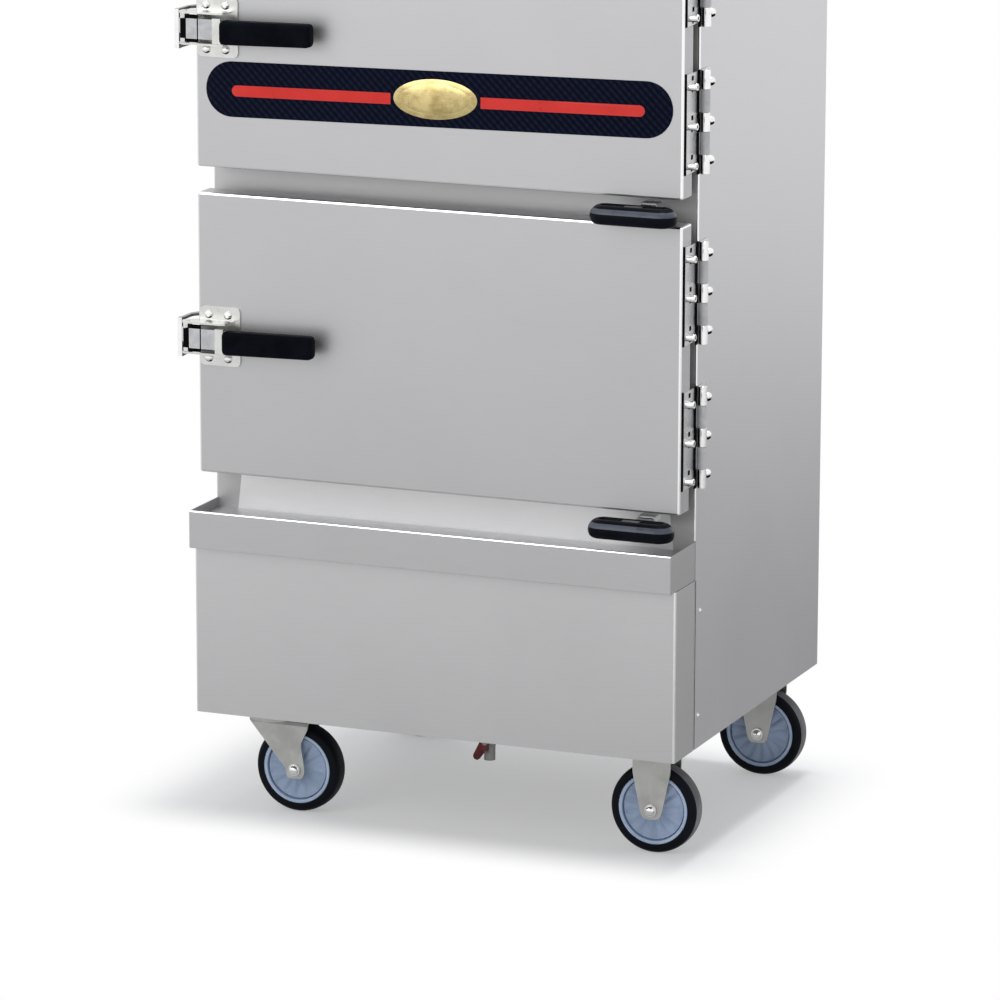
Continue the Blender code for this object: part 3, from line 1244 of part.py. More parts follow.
def latch_lever(name, middle, door_axis):
    """The lever: a boss on the pin, the tongue that catches the keeper, and a strip in a rubber grip."""
    axis = joint_empty(name + "_latch_axis", (LATCH_PIN_X, LATCH_PIN_Y, middle), door_axis)
    boss_reach = (LATCH_EAR_PITCH - LATCH_EAR) / 2 - SEAT
    boss = latch_rod("boss", middle, boss_reach, LATCH_BOSS_RADIUS)
    tongue_left = KEEPER_RIGHT + KEEPER_CLEARANCE
    tongue_right = tongue_left + LATCH_TONGUE
    tip_y = LATCH_PIN_Y + LATCH_TONGUE_BACK
    outline = filleted(
        [
            (LATCH_PIN_X - LATCH_BOSS_RADIUS * LEG_SHARE, LATCH_PIN_Y - LATCH_BOSS_RADIUS * LEG_SHARE, 0),
            (LATCH_PIN_X + LATCH_BOSS_RADIUS * LEG_SHARE, LATCH_PIN_Y + LATCH_BOSS_RADIUS * LEG_SHARE, 0),
            (tongue_right, tip_y - LATCH_TONGUE_TIP, LATCH_TONGUE_TIP),
            (tongue_right, tip_y, LATCH_TONGUE * LEG_SHARE),
            (tongue_left, tip_y, LATCH_TONGUE * LEG_SHARE),
            (tongue_left, tip_y - 2 * LATCH_TONGUE_TIP, LATCH_TONGUE_TIP),
        ],
        LATCH_TONGUE_TIP,
        closed=True,
    )
    half = LATCH_TONGUE_HEIGHT / 2
    tongue = extrusion("tongue", [outline], middle - half, middle + half, "XY")
    grip_x = (DOOR_LEFT + GRIP_START, DOOR_LEFT + GRIP_START + GRIP_LENGTH)
    grip_y = LATCH_PIN_Y - LATCH_STRIP_SAG
    strip_end = grip_x[0] + GRIP_SOCKET - SEAT
    path = filleted(
        [(LATCH_PIN_X, LATCH_PIN_Y), (LATCH_PIN_X + LATCH_STRIP_CURVE, grip_y), (strip_end, grip_y)],
        LATCH_STRIP_BEND,
    )
    half = LATCH_STRIP_HEIGHT / 2
    strip = folded_sheet("strip", path, middle - half, middle + half, "XY", LATCH_STRIP)
    bore_radius = LATCH_PIN_RADIUS + SEAT
    bore = latch_rod("latch_bore", middle, boss_reach + OVERRUN, bore_radius)
    seam_x = LATCH_PIN_X + LATCH_BOSS_RADIUS
    seam_y = (LATCH_PIN_Y - LATCH_BOSS_RADIUS, LATCH_PIN_Y - LATCH_SEAM_BACK)
    seam_z = (middle - boss_reach - OVERRUN, middle + boss_reach + OVERRUN)
    seam = box("latch_seam", (seam_x, seam_x + LATCH_SEAM), seam_y, seam_z)
    lever = cut(joined(boss, tongue, strip), bore, seam)
    keep(lever, name + "_latch_lever", "bright_steel", axis)

    half_thickness = GRIP_THICKNESS / 2
    y = (grip_y - half_thickness, grip_y + half_thickness)
    z = (middle - GRIP_HEIGHT / 2, middle + GRIP_HEIGHT / 2)
    grip = box("grip", grip_x, y, z, GRIP_ROUNDING, GRIP_STEPS)
    slot = LATCH_STRIP / 2 + SEAT
    slot_z = (middle - half - SEAT, middle + half + SEAT)
    slot_x = (grip_x[0] - OVERRUN, grip_x[0] + GRIP_SOCKET)
    socket = box("socket", slot_x, (grip_y - slot, grip_y + slot), slot_z)
    keep(cut(grip, socket), name + "_latch_grip", "black_rubber", axis)


def latch_keeper(name, latch_middle):
    """The keeper on the left side panel: an upright bar on two arms that run back to a plate."""
    middle = latch_middle - KEEPER_DROP
    z = (middle - KEEPER_HEIGHT / 2, middle + KEEPER_HEIGHT / 2)
    bar_y = (-KEEPER_BAR_FRONT, KEEPER_BAR_DEPTH - KEEPER_BAR_FRONT)
    bar = box("keeper_bar", (KEEPER_LEFT, KEEPER_RIGHT), bar_y, z)
    plate_x = (-HALF_WIDTH - SEAT - KEEPER_PLATE, -HALF_WIDTH - SEAT)
    plate_y = (KEEPER_PLATE_FRONT, KEEPER_PLATE_FRONT + KEEPER_PLATE_DEPTH)
    plate_z = (z[0] - KEEPER_PLATE_MARGIN, z[1] + KEEPER_PLATE_MARGIN)
    plate = box("keeper_plate", plate_x, plate_y, plate_z)
    root = plate_x[0] + KEEPER_PLATE / 2
    outline = filleted(
        [
            (root, plate_y[1] - KEEPER_PLATE_MARGIN, 0),
            (root, plate_y[0] + KEEPER_PLATE / 2, 0),
            (KEEPER_RIGHT, -KEEPER_RUN_IN, KEEPER_BAR_WIDTH),
            (KEEPER_RIGHT, bar_y[0] + KEEPER_PLATE / 2, 0),
            (KEEPER_LEFT + KEEPER_PLATE / 2, bar_y[0] + KEEPER_PLATE / 2, 0),
            (KEEPER_LEFT + KEEPER_PLATE / 2, -KEEPER_RUN_IN + KEEPER_BAR_WIDTH, KEEPER_BAR_WIDTH),
        ],
        KEEPER_BAR_WIDTH,
        closed=True,
    )
    lower_arm = extrusion("lower_arm", [outline], z[0] + SEAT, z[0] + KEEPER_ARM, "XY")
    upper_arm = extrusion("upper_arm", [outline], z[1] - KEEPER_ARM, z[1] - SEAT, "XY")
    keep(joined(bar, plate, lower_arm, upper_arm), name + "_latch_keeper", "zinc_plate")


# Steam dampers

def steam_damper(name, z):
    """A sliding steam damper: a plate in the wall's pocket on a strip, with a capsule grip outside."""
    grip_rear = DAMPER_GRIP_DEPTH - DAMPER_GRIP_FRONT
    axis = joint_empty(name + "_damper_axis", (DAMPER_X, grip_rear, z))
    half_strip = DAMPER_STRIP_WIDTH / 2
    half_plate = DAMPER_PLATE_WIDTH / 2
    strip_front = DAMPER_GRIP_WALL + SEAT - DAMPER_GRIP_FRONT
    plate_front = DAMPER_PLATE_BACK - DAMPER_PLATE_DEPTH
    corners = [
        (DAMPER_X - half_strip, strip_front, DAMPER_STRIP),
        (DAMPER_X + half_strip, strip_front, DAMPER_STRIP),
        (DAMPER_X + half_strip, plate_front, DAMPER_STRIP),
        (DAMPER_X + half_plate, plate_front, DAMPER_STRIP),
        (DAMPER_X + half_plate, DAMPER_PLATE_BACK, DAMPER_STRIP),
        (DAMPER_X - half_plate, DAMPER_PLATE_BACK, DAMPER_STRIP),
        (DAMPER_X - half_plate, plate_front, DAMPER_STRIP),
        (DAMPER_X - half_strip, plate_front, DAMPER_STRIP),
    ]
    outline = filleted(corners, DAMPER_STRIP, closed=True, steps=2)
    plate = extrusion("damper", [outline], z - DAMPER_STRIP / 2, z + DAMPER_STRIP / 2, "XY")
    keep(plate, name + "_damper_plate", "liner_steel", axis)
    damper_grip(name, z, axis)


def damper_grip(name, z, axis):
    """The capsule grip on the strip's end, with two finger hollows in the rear half of its top."""
    half = DAMPER_GRIP_WIDTH / 2
    rear = DAMPER_GRIP_DEPTH - DAMPER_GRIP_FRONT
    front = -DAMPER_GRIP_FRONT
    x = (DAMPER_X - half, DAMPER_X + half)
    radius = DAMPER_GRIP_DEPTH / 2
    outline = rectangle(x, (front, rear), radius, 2 * BEND_STEPS)
    low = z - DAMPER_GRIP_HEIGHT / 2
    high = z + DAMPER_GRIP_HEIGHT / 2
    body = extrusion("capsule", [outline], low, high, "XY")
    round_edges(body, DAMPER_GRIP_ROUNDING)
    hollows = []
    wall = DAMPER_GRIP_WALL
    hollow_y = (rear - wall - DAMPER_HOLLOW_REACH, rear - wall)
    for side in (-1, 1):
        inner = DAMPER_X + side * DAMPER_GRIP_WEB / 2
        outer = DAMPER_X + side * (half - DAMPER_GRIP_END)
        pocket = rectangle(sorted((inner, outer)), hollow_y, DAMPER_HOLLOW_CORNER)
        hollows.append(extrusion(f"hollow_{side}", [pocket], high - DAMPER_GRIP_HOLLOW, high + OVERRUN, "XY"))
    slot_half = DAMPER_STRIP_WIDTH / 2 + SEAT
    slot_x = (DAMPER_X - slot_half, DAMPER_X + slot_half)
    slot_z = (z - DAMPER_STRIP / 2 - SEAT, z + DAMPER_STRIP / 2 + SEAT)
    slot = box("strip_slot", slot_x, (front + wall, rear + OVERRUN), slot_z)
    keep(cut(body, *hollows, slot), name + "_damper_grip", "grip_plastic", axis)


# Casters

def wheel(name, x, y, carrier=None):
    """A tyre on a fluted hub, turning on an axle that lies along Y."""
    place = (x, y, AXLE_Z)
    axis = joint_empty(name + "_wheel_axis", place, carrier)
    half = TYRE_WIDTH / 2
    shoulder = TYRE_SHOULDER
    tread = WHEEL_RADIUS
    tyre_corners = [
        (TYRE_INNER_RADIUS, half),
        (tread, half, shoulder),
        (tread, -half, shoulder),
        (TYRE_INNER_RADIUS, -half),
    ]
    section = filleted(tyre_corners, 0, steps=SHOULDER_STEPS)
    tyre = turned("tyre", section, place, "XZ", WHEEL_STEPS, closed=True)
    keep(tyre, name + "_wheel_tyre", "tyre_rubber", axis)

    hub = wheel_hub(name, place)
    keep(hub, name + "_wheel_hub", "hub_grey", axis)


def wheel_hub(name, place):
    """A rim, a groove and a disc round a boss, with radial flutes sunk in both faces of the disc."""
    rim = TYRE_INNER_RADIUS - SEAT
    rim_inside = rim - HUB_RIM
    web = HUB_WEB / 2
    face = HUB_FACE_WIDTH / 2
    bore = AXLE_RADIUS + AXLE_CLEARANCE
    # Each ring is (radius, half width between the flutes, depth of a flute there).
    half_rings = [
        (rim, TYRE_WIDTH / 2 - SEAT, 0),
        (rim_inside, TYRE_WIDTH / 2 - SEAT, 0),
        (rim_inside - HUB_GROOVE, web - HUB_GROOVE_DROP, 0),
        (DISC_RADIUS, web, 0),
        (FLUTE_OUTER, web, FLUTE_DEPTH),
        (FLUTE_INNER, web, FLUTE_DEPTH),
        (HUB_BOSS_RADIUS, web, 0),
        (HUB_BOSS_RADIUS, face, 0),
        (bore, face, 0),
    ]
    near = [(radius, -height, depth) for radius, height, depth in half_rings]
    far = [(radius, height, -depth) for radius, height, depth in reversed(half_rings)]
    bm = bmesh.new()
    columns = []
    for step in range(WHEEL_STEPS):
        turn = 2 * math.pi * step / WHEEL_STEPS
        sunk = step % 2
        column = []
        for radius, height, depth in near + far:
            point = (radius * math.cos(turn), height + sunk * depth, radius * math.sin(turn))
            column.append(bm.verts.new(point))
        columns.append(column)
    for column, following in zip(columns, columns[1:] + columns[:1]):
        for low in range(len(column)):
            bm.faces.new((column[low - 1], column[low], following[low], following[low - 1]))
    bmesh.ops.recalc_face_normals(bm, faces=bm.faces)
    mesh = bpy.data.meshes.new(name)
    bm.to_mesh(mesh)
    bm.free()
    return helper(name, mesh, place)


def axle(name, x, y, carrier=None):
    """The wheel's bolt across the fork, with a domed nut at each end."""
    half = FORK_INSIDE / 2 + FORK_WALL + SEAT
    tip = half + AXLE_NUT_LENGTH
    dome = half + AXLE_NUT_LENGTH * LEG_SHARE
    profile = [
        (0, tip),
        (AXLE_NUT_RADIUS * LEG_SHARE, tip),
        (AXLE_NUT_RADIUS, dome),
        (AXLE_NUT_RADIUS, half),
        (AXLE_RADIUS, half),
        (AXLE_RADIUS, -half),
        (AXLE_NUT_RADIUS, -half),
        (AXLE_NUT_RADIUS, -dome),
        (AXLE_NUT_RADIUS * LEG_SHARE, -tip),
        (0, -tip),
    ]
    bolt = turned("axle", profile, (x, y, AXLE_Z), "XZ", SMALL_SIDES)
    keep(bolt, name + "_caster_axle", "bright_steel", carrier)


def fork_channel(name, x, y, crown_z, outline):
    """A pressed fork: a sheet bent over the wheel, trimmed to its side outline and bored."""
    cheek = (FORK_INSIDE + FORK_WALL) / 2
    foot = AXLE_Z - FORK_EYE - OVERRUN
    web = crown_z - FORK_WALL / 2
    corners = [(y - cheek, foot), (y - cheek, web), (y + cheek, web), (y + cheek, foot)]
    side_x = [point[0] for point in outline]
    low = min(side_x) - OVERRUN
    high = max(side_x) + OVERRUN
    path = filleted(corners, FORK_BEND, steps=SHOULDER_STEPS)
    channel = folded_sheet(name, path, low, high, "YZ", FORK_WALL)
    reach = cheek + FORK_WALL
    trim = extrusion(name + "_trim", [outline], y - reach, y + reach, "XZ")
    keep_inside = channel.modifiers.new("outline", "BOOLEAN")
    keep_inside.operation = "INTERSECT"
    keep_inside.object = trim
    bore = rod(
        name + "_axle_bore",
        (x, y - reach, AXLE_Z),
        (x, y + reach, AXLE_Z),
        AXLE_RADIUS + AXLE_CLEARANCE,
        BARREL_SIDES,
    )
    return cut(channel, bore)


def mounting_plate(name, x, y):
    """A caster's bolting plate with its four bolt holes."""
    half_x = CASTER_PLATE_LENGTH / 2
    half_y = CASTER_PLATE_WIDTH / 2
    outlines = [rectangle((x - half_x, x + half_x), (y - half_y, y + half_y), CASTER_PLATE_CORNER)]
    for a in (x - half_x + CASTER_SLOT_INSET, x + half_x - CASTER_SLOT_INSET):
        for b in (y - half_y + CASTER_SLOT_INSET, y + half_y - CASTER_SLOT_INSET):
            outlines.append(circle(a, b, CASTER_SLOT_RADIUS, SMALL_SIDES))
    return extrusion(name, outlines, CASTER_PLATE_BOTTOM, CASTER_TOP, "XY")


def rigid_caster(name, y):
    """A fixed caster at the right: plate and fork in one, axle, hub and tyre."""
    x = RIGID_CASTER_X
    neck = AXLE_Z + RIGID_NECK_ABOVE
    eye = FORK_EYE
    top = CASTER_PLATE_BOTTOM + OVERRUN
    corners = [
        (x - RIGID_HALF_TOP, top, 0),
        (x - RIGID_HALF_TOP, neck, RIGID_NECK_ABOVE),
        (x - RIGID_HALF_AXLE, AXLE_Z, RIGID_HALF_AXLE),
        (x - eye, AXLE_Z - eye, eye),
        (x + eye, AXLE_Z - eye, eye),
        (x + RIGID_HALF_AXLE, AXLE_Z, RIGID_HALF_AXLE),
        (x + RIGID_HALF_TOP, neck, RIGID_NECK_ABOVE),
        (x + RIGID_HALF_TOP, top, 0),
    ]
    outline = filleted(corners, eye, closed=True, steps=SHOULDER_STEPS)
    fork = fork_channel("rigid_fork", x, y, CASTER_PLATE_BOTTOM + CASTER_PLATE / 2, outline)
    plate = mounting_plate("rigid_plate", x, y)
    keep(joined(plate, fork), name + "_caster_fork", "zinc_plate")
    axle(name, x, y)
    wheel(name, x, y)


def swivel_caster(name, y):
    """A swivelling caster at the left: fixed plate with kingpin, turning fork, axle, hub and tyre."""
    race_low = SWIVEL_CROWN_Z + RACE_CUP_HEIGHT + SEAT
    plate = mounting_plate("swivel_plate", SWIVEL_X, y)
    race_top = CASTER_PLATE_BOTTOM + CASTER_PLATE / 2
    race = rod("race", (SWIVEL_X, y, race_low), (SWIVEL_X, y, race_top), RACE_RADIUS)
    head_top = SWIVEL_CROWN_Z - FORK_WALL - SEAT
    head_low = head_top - KINGPIN_HEAD
    pin_low = (SWIVEL_X, y, head_low + SEAT)
    pin = rod("kingpin", pin_low, (SWIVEL_X, y, race_top), KINGPIN_RADIUS, BARREL_SIDES)
    head = rod("kingpin_head", (SWIVEL_X, y, head_low), (SWIVEL_X, y, head_top), KINGPIN_HEAD_RADIUS, 6)
    keep(joined(plate, race, pin, head), name + "_caster_plate", "zinc_plate")

    axis = joint_empty(name + "_swivel_axis", (SWIVEL_X, y, 0))
    x = SWIVEL_X + SWIVEL_TRAIL
    eye = FORK_EYE
    flare = SWIVEL_CROWN_Z - 2 * SWIVEL_FLARE_BELOW
    top = SWIVEL_CROWN_Z + OVERRUN
    crown_low = SWIVEL_CROWN_Z - FORK_WALL
    corners = [
        (x - SWIVEL_CROWN_LEFT, top, 0),
        (x - SWIVEL_CROWN_LEFT, crown_low, 0),
        (x - eye, AXLE_Z, eye),
        (x - eye, AXLE_Z - eye, eye),
        (x + eye, AXLE_Z - eye, eye),
        (x + SWIVEL_EYE_RIGHT, AXLE_Z, eye),
        (x + SWIVEL_NECK_RIGHT, flare - SWIVEL_FLARE_BELOW, eye),
        (x + SWIVEL_CROWN_RIGHT, flare + SWIVEL_FLARE_BELOW, SWIVEL_FLARE_BELOW),
        (x + SWIVEL_CROWN_RIGHT, top, 0),
    ]
    outline = filleted(corners, eye, closed=True, steps=SHOULDER_STEPS)
    fork = fork_channel("swivel_fork", x, y, SWIVEL_CROWN_Z, outline)
    cup_low = (SWIVEL_X, y, SWIVEL_CROWN_Z - FORK_WALL / 2)
    cup_high = (SWIVEL_X, y, SWIVEL_CROWN_Z + RACE_CUP_HEIGHT)
    cup = rod("cup", cup_low, cup_high, RACE_CUP_RADIUS)
    bore_low = (SWIVEL_X, y, crown_low - OVERRUN)
    bore_high = (SWIVEL_X, y, SWIVEL_CROWN_Z + RACE_CUP_HEIGHT + OVERRUN)
    bore = rod("kingpin_bore", bore_low, bore_high, KINGPIN_RADIUS + AXLE_CLEARANCE)
    keep(cut(joined(cup, fork), bore), name + "_caster_fork", "zinc_plate", axis)
    axle(name, x, y, axis)
    wheel(name, x, y, axis)


def build_cabinet():
    """Every piece of the cabinet, from the housing down to the casters."""
    clear_scene()
    side_panel("left_side_panel", -1)
    side_panel("right_side_panel", 1)
    back_panel()
    top_panel()
    front_frame()
    for name, door_z in door_zs():
        chamber_liner(name + "_chamber_liner", door_z)
    wall_insulation()
    base_frame()
    front_skirt()
    drip_gutter()
    water_tank()
    heating_element()
    cable_gland()
    drain_valve()
    for name, door_z in door_zs():
        door(name, door_z)
    steam_damper("upper", UPPER_DAMPER_Z)
    steam_damper("lower", LOWER_DAMPER_Z)
    for row, y in (("front", CASTER_INSET_Y), ("rear", REAR_CASTER_Y)):
        rigid_caster(row + "_right", y)
        swivel_caster(row + "_left", y)


build_cabinet()
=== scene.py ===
# %% [markdown]
# # A steamer cabinet
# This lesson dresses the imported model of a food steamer. The solids come from the
# CAD file and stay where they are. Each cell adds one thing: the camera, the
# studio, a finish, or a small piece that the solids leave out.

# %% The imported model
import json
from math import copysign, cos, pi, radians, sin

import bmesh
import bpy
from mathutils import Matrix, Vector

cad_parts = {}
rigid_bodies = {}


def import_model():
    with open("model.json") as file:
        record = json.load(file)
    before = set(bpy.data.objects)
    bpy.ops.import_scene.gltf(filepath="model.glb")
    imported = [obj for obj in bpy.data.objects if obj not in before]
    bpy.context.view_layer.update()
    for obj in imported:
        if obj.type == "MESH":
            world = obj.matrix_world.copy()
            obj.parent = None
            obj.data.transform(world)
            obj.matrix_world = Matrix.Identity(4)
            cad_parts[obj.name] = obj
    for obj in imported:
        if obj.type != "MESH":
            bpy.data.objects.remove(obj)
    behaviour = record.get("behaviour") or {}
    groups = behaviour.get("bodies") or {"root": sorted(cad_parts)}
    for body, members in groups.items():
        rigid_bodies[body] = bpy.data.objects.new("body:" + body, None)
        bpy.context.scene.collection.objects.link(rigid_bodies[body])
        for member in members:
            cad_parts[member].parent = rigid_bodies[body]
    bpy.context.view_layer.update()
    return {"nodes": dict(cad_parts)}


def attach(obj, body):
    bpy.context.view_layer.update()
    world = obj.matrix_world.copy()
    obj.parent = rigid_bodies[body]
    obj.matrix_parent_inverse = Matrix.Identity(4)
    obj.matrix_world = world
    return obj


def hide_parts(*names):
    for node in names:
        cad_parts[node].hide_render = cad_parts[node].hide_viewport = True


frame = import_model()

# %% [markdown]
# ## Where things are
# The drawing of the cabinet was made from the middle of the body's front face. The
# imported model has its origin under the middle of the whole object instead, so one
# shift takes a place on the drawing to its place in this scene.

# %% From the drawing to the scene
SHIFT = Vector((0.0085, -0.2125, 0.0))
BODY_HALF = 0.350
DOOR_FRONT = -0.055
LOWER_DOOR_LOW = 0.491
UPPER_DOOR_LOW = 0.912


def at(x, y, z):
    """A place on the drawing, in the scene's coordinates."""
    return Vector((x, y, z)) + SHIFT


print("front right foot corner of the body:", at(BODY_HALF, 0, 0.158))

# %% [markdown]
# ## The camera
# The photographer stood well back with a long lens, a little to the right of the
# front and slightly above. The corners of the doors and of the side panel were
# measured in the picture, and the camera was fitted to them: direction, distance,
# lens and a small roll of the horizon. Depth of field and shift stay off.

# %% A camera where the photographer stood
AZIMUTH = radians(22.259)
ELEVATION = radians(12.893)
ROLL = radians(0.139)
DISTANCE = 7.6991
TARGET = at(0, 0, 0.5)
NUDGE_RIGHT = 0.0639
NUDGE_UP = -0.0287
LENS = 205.70
SENSOR = 36

back = Vector((sin(AZIMUTH) * cos(ELEVATION), -cos(AZIMUTH) * cos(ELEVATION), sin(ELEVATION)))
level_right = Vector((cos(AZIMUTH), sin(AZIMUTH), 0))
level_up = back.cross(level_right)
right = level_right * cos(ROLL) + level_up * sin(ROLL)
up = level_up * cos(ROLL) - level_right * sin(ROLL)
camera_place = TARGET + back * DISTANCE + right * NUDGE_RIGHT + up * NUDGE_UP

camera_data = bpy.data.cameras.new("photographer")
camera_data.sensor_width = SENSOR
camera_data.lens = LENS
camera_data.clip_start = 0.1
camera_data.clip_end = 100
camera = bpy.data.objects.new("photographer", camera_data)
turned = Matrix((right, up, back)).transposed().to_4x4()
camera.matrix_world = Matrix.Translation(camera_place) @ turned
bpy.context.scene.collection.objects.link(camera)
bpy.context.scene.camera = camera
print("camera at", tuple(round(v, 3) for v in camera_place))

# %% [markdown]
# ## Small helpers for node trees
# Every finish is a tree of nodes. A few short helpers add a node with its values, join
# sockets and run one through a row of nodes, so that the cells below read like a
# recipe.

# %% Adding nodes and links


def add(tree, kind, values=None, **settings):
    """A new node of this kind, with values for its inputs and settings of its own."""
    node = tree.nodes.new(kind)
    for name, value in settings.items():
        setattr(node, name, value)
    for socket, value in (values or {}).items():
        node.inputs[socket].default_value = value
    return node


def join(tree, *pairs):
    """Links, each from one socket to another."""
    for source, target in pairs:
        tree.links.new(source, target)


def chain(tree, socket, *nodes):
    """A socket run through nodes, from each one's first output to the next one's first input."""
    for node in nodes:
        tree.links.new(socket, node.inputs[0])
        socket = node.outputs[0] if node.outputs else None
    return socket


def fitted(tree, value, low, high):
    """A value from 0 to 1, stretched to run from low to high."""
    return chain(tree, value, add(tree, "ShaderNodeMapRange", {"To Min": low, "To Max": high}))


def blended(tree, amount, first, second):
    """A colour between two others. Each may be a colour or a socket."""
    node = add(tree, "ShaderNodeMix", data_type="RGBA")
    join(tree, (amount, node.inputs["Factor"]))
    for name, colour in (("A", first), ("B", second)):
        socket = [s for s in node.inputs if s.name == name and s.type == "RGBA"][0]
        if isinstance(colour, bpy.types.NodeSocket):
            join(tree, (colour, socket))
        else:
            socket.default_value = (*colour, 1)
    return [s for s in node.outputs if s.type == "RGBA"][0]


def object_place(tree):
    """The socket that gives each point of an object its place in the object's own coordinates."""
    return add(tree, "ShaderNodeTexCoord").outputs["Object"]


print("helpers ready")

# %% [markdown]
# ## The studio
# A catalogue photograph of sheet steel is lit by large soft lamps in a white room.
# Steel shows the room more than the lamps, so the world is white for the camera
# and for reflections, and a calmer grey for the light that falls on things. The
# floor is white paper that keeps the soft shadow under the cabinet. In the steel it
# shows darker near the cabinet's right rear corner and white far away, which is why
# the sheets get darker towards their feet.

# %% World
world = bpy.data.worlds.new("white_room")
bpy.context.scene.world = world
world.use_nodes = True
tree = world.node_tree
tree.nodes.clear()
ray = add(tree, "ShaderNodeLightPath")
seen = add(tree, "ShaderNodeMath", operation="MAXIMUM")
shown = add(tree, "ShaderNodeMath", operation="MAXIMUM")
soft = add(tree, "ShaderNodeBackground", {"Color": (0.93, 0.95, 1.0, 1), "Strength": 0.50})
white = add(tree, "ShaderNodeBackground", {"Color": (1, 1, 1, 1), "Strength": 1.0})
pick = add(tree, "ShaderNodeMixShader")
room = add(tree, "ShaderNodeOutputWorld")
chain(tree, ray.outputs["Is Camera Ray"], seen, shown, pick, room)
join(tree, (ray.outputs["Is Glossy Ray"], seen.inputs[1]),
     (ray.outputs["Is Transmission Ray"], shown.inputs[1]),
     (soft.outputs[0], pick.inputs[1]), (white.outputs[0], pick.inputs[2]))
print("world:", world.name)

# %% Floor
FLOOR_RADIUS = 14.0

floor_mesh = bpy.data.meshes.new("studio_floor")
shape = bmesh.new()
bmesh.ops.create_circle(shape, cap_ends=True, segments=96, radius=FLOOR_RADIUS)
shape.to_mesh(floor_mesh)
shape.free()
floor = bpy.data.objects.new("studio_floor", floor_mesh)
bpy.context.scene.collection.objects.link(floor)
print("floor radius", FLOOR_RADIUS)

# %% [markdown]
# ### The paper on the floor
# Round the cabinet's foot the paper is lit by the lamps and takes its shadow. Past a
# short fade it glows by itself, so it is as white as the room. In a mirror it always
# glows, least at one point behind the right rear corner.

# %% Paper
FOOT_CENTRE = Vector((-0.02, 0.04, 0.0))
FOOT_HALF = Vector((0.37, 0.23, 0.0))
FADE_END = 0.15
GLOW_AT_FOOT = 0.35
PAPER_GREY = 0.90
DARKEST = Vector((0.55, 0.95, 0.0))
DARKEST_GLOW = 0.34
FULL_GLOW_FROM = 5.0

paper = bpy.data.materials.new("white_paper")
paper.use_nodes = True
floor_mesh.materials.append(paper)
tree = paper.node_tree
tree.nodes.clear()
place = object_place(tree)
centred = add(tree, "ShaderNodeVectorMath", {1: FOOT_CENTRE}, operation="SUBTRACT")
spread = add(tree, "ShaderNodeVectorMath", operation="ABSOLUTE")
past_foot = add(tree, "ShaderNodeVectorMath", {1: FOOT_HALF}, operation="SUBTRACT")
outside = add(tree, "ShaderNodeVectorMath", operation="MAXIMUM")
distance = add(tree, "ShaderNodeVectorMath", operation="LENGTH")
fade = add(tree, "ShaderNodeMapRange", {"From Max": FADE_END, "To Min": GLOW_AT_FOOT},
           interpolation_type="SMOOTHSTEP")
chain(tree, place, centred, spread, past_foot, outside, distance)
join(tree, (distance.outputs["Value"], fade.inputs["Value"]))

from_darkest = add(tree, "ShaderNodeVectorMath", {1: DARKEST}, operation="DISTANCE")
shine = add(tree, "ShaderNodeMapRange", {"From Max": FULL_GLOW_FROM, "To Min": DARKEST_GLOW},
            interpolation_type="SMOOTHSTEP")
in_steel = add(tree, "ShaderNodeMix", {"A": 1.0}, data_type="FLOAT")
glow = add(tree, "ShaderNodeEmission")
ray = add(tree, "ShaderNodeLightPath")
chain(tree, place, from_darkest)
join(tree, (chain(tree, from_darkest.outputs["Value"], shine), in_steel.inputs["B"]),
     (chain(tree, ray.outputs["Is Glossy Ray"], in_steel), glow.inputs["Strength"]))

amount = add(tree, "ShaderNodeMath", operation="MULTIPLY")
either = add(tree, "ShaderNodeMath", operation="MAXIMUM")
diffuse = add(tree, "ShaderNodeBsdfDiffuse", {"Color": (PAPER_GREY, PAPER_GREY, PAPER_GREY, 1)})
mixed = add(tree, "ShaderNodeMixShader")
out = add(tree, "ShaderNodeOutputMaterial")
chain(tree, fade.outputs["Result"], amount, either, mixed, out)
join(tree, (ray.outputs["Is Camera Ray"], amount.inputs[1]), (ray.outputs["Is Glossy Ray"], either.inputs[1]),
     (diffuse.outputs[0], mixed.inputs[1]), (glow.outputs[0], mixed.inputs[2]))
print("paper:", len(tree.nodes), "nodes")

# %% [markdown]
# ## Lamps
# Three large area lamps do what soft boxes do. The main one hangs high above the
# cabinet, so the shadow stays close to its feet. A wide one fills the front, and a
# weak one behind keeps the left edge from going dark. That one isn't mirrored by
# anything, because its white patch would cover the lid.

# %% Soft boxes


def soft_box(name, place, aim, width, height, watts):
    """A square lamp at this place, turned towards its aim."""
    data = bpy.data.lights.new(name, "AREA")
    data.shape = "RECTANGLE"
    data.size = width
    data.size_y = height
    data.energy = watts
    lamp = bpy.data.objects.new(name, data)
    lamp.location = place
    lamp.rotation_mode = "QUATERNION"
    lamp.rotation_quaternion = (place - aim).to_track_quat("Z", "Y")
    bpy.context.scene.collection.objects.link(lamp)
    print(name, watts, "W")
    return lamp


CENTRE = Vector((0, 0, 0.7))
soft_box("main_box", Vector((0.5, 0.5, 9.0)), CENTRE, 1.8, 1.8, 430)
soft_box("front_box", Vector((-1.4, -3.6, 2.6)), CENTRE, 2.6, 2.0, 34)
rear_box = soft_box("rear_box", Vector((-1.6, 2.6, 2.2)), CENTRE, 2.0, 2.0, 12)
rear_box.visible_glossy = False
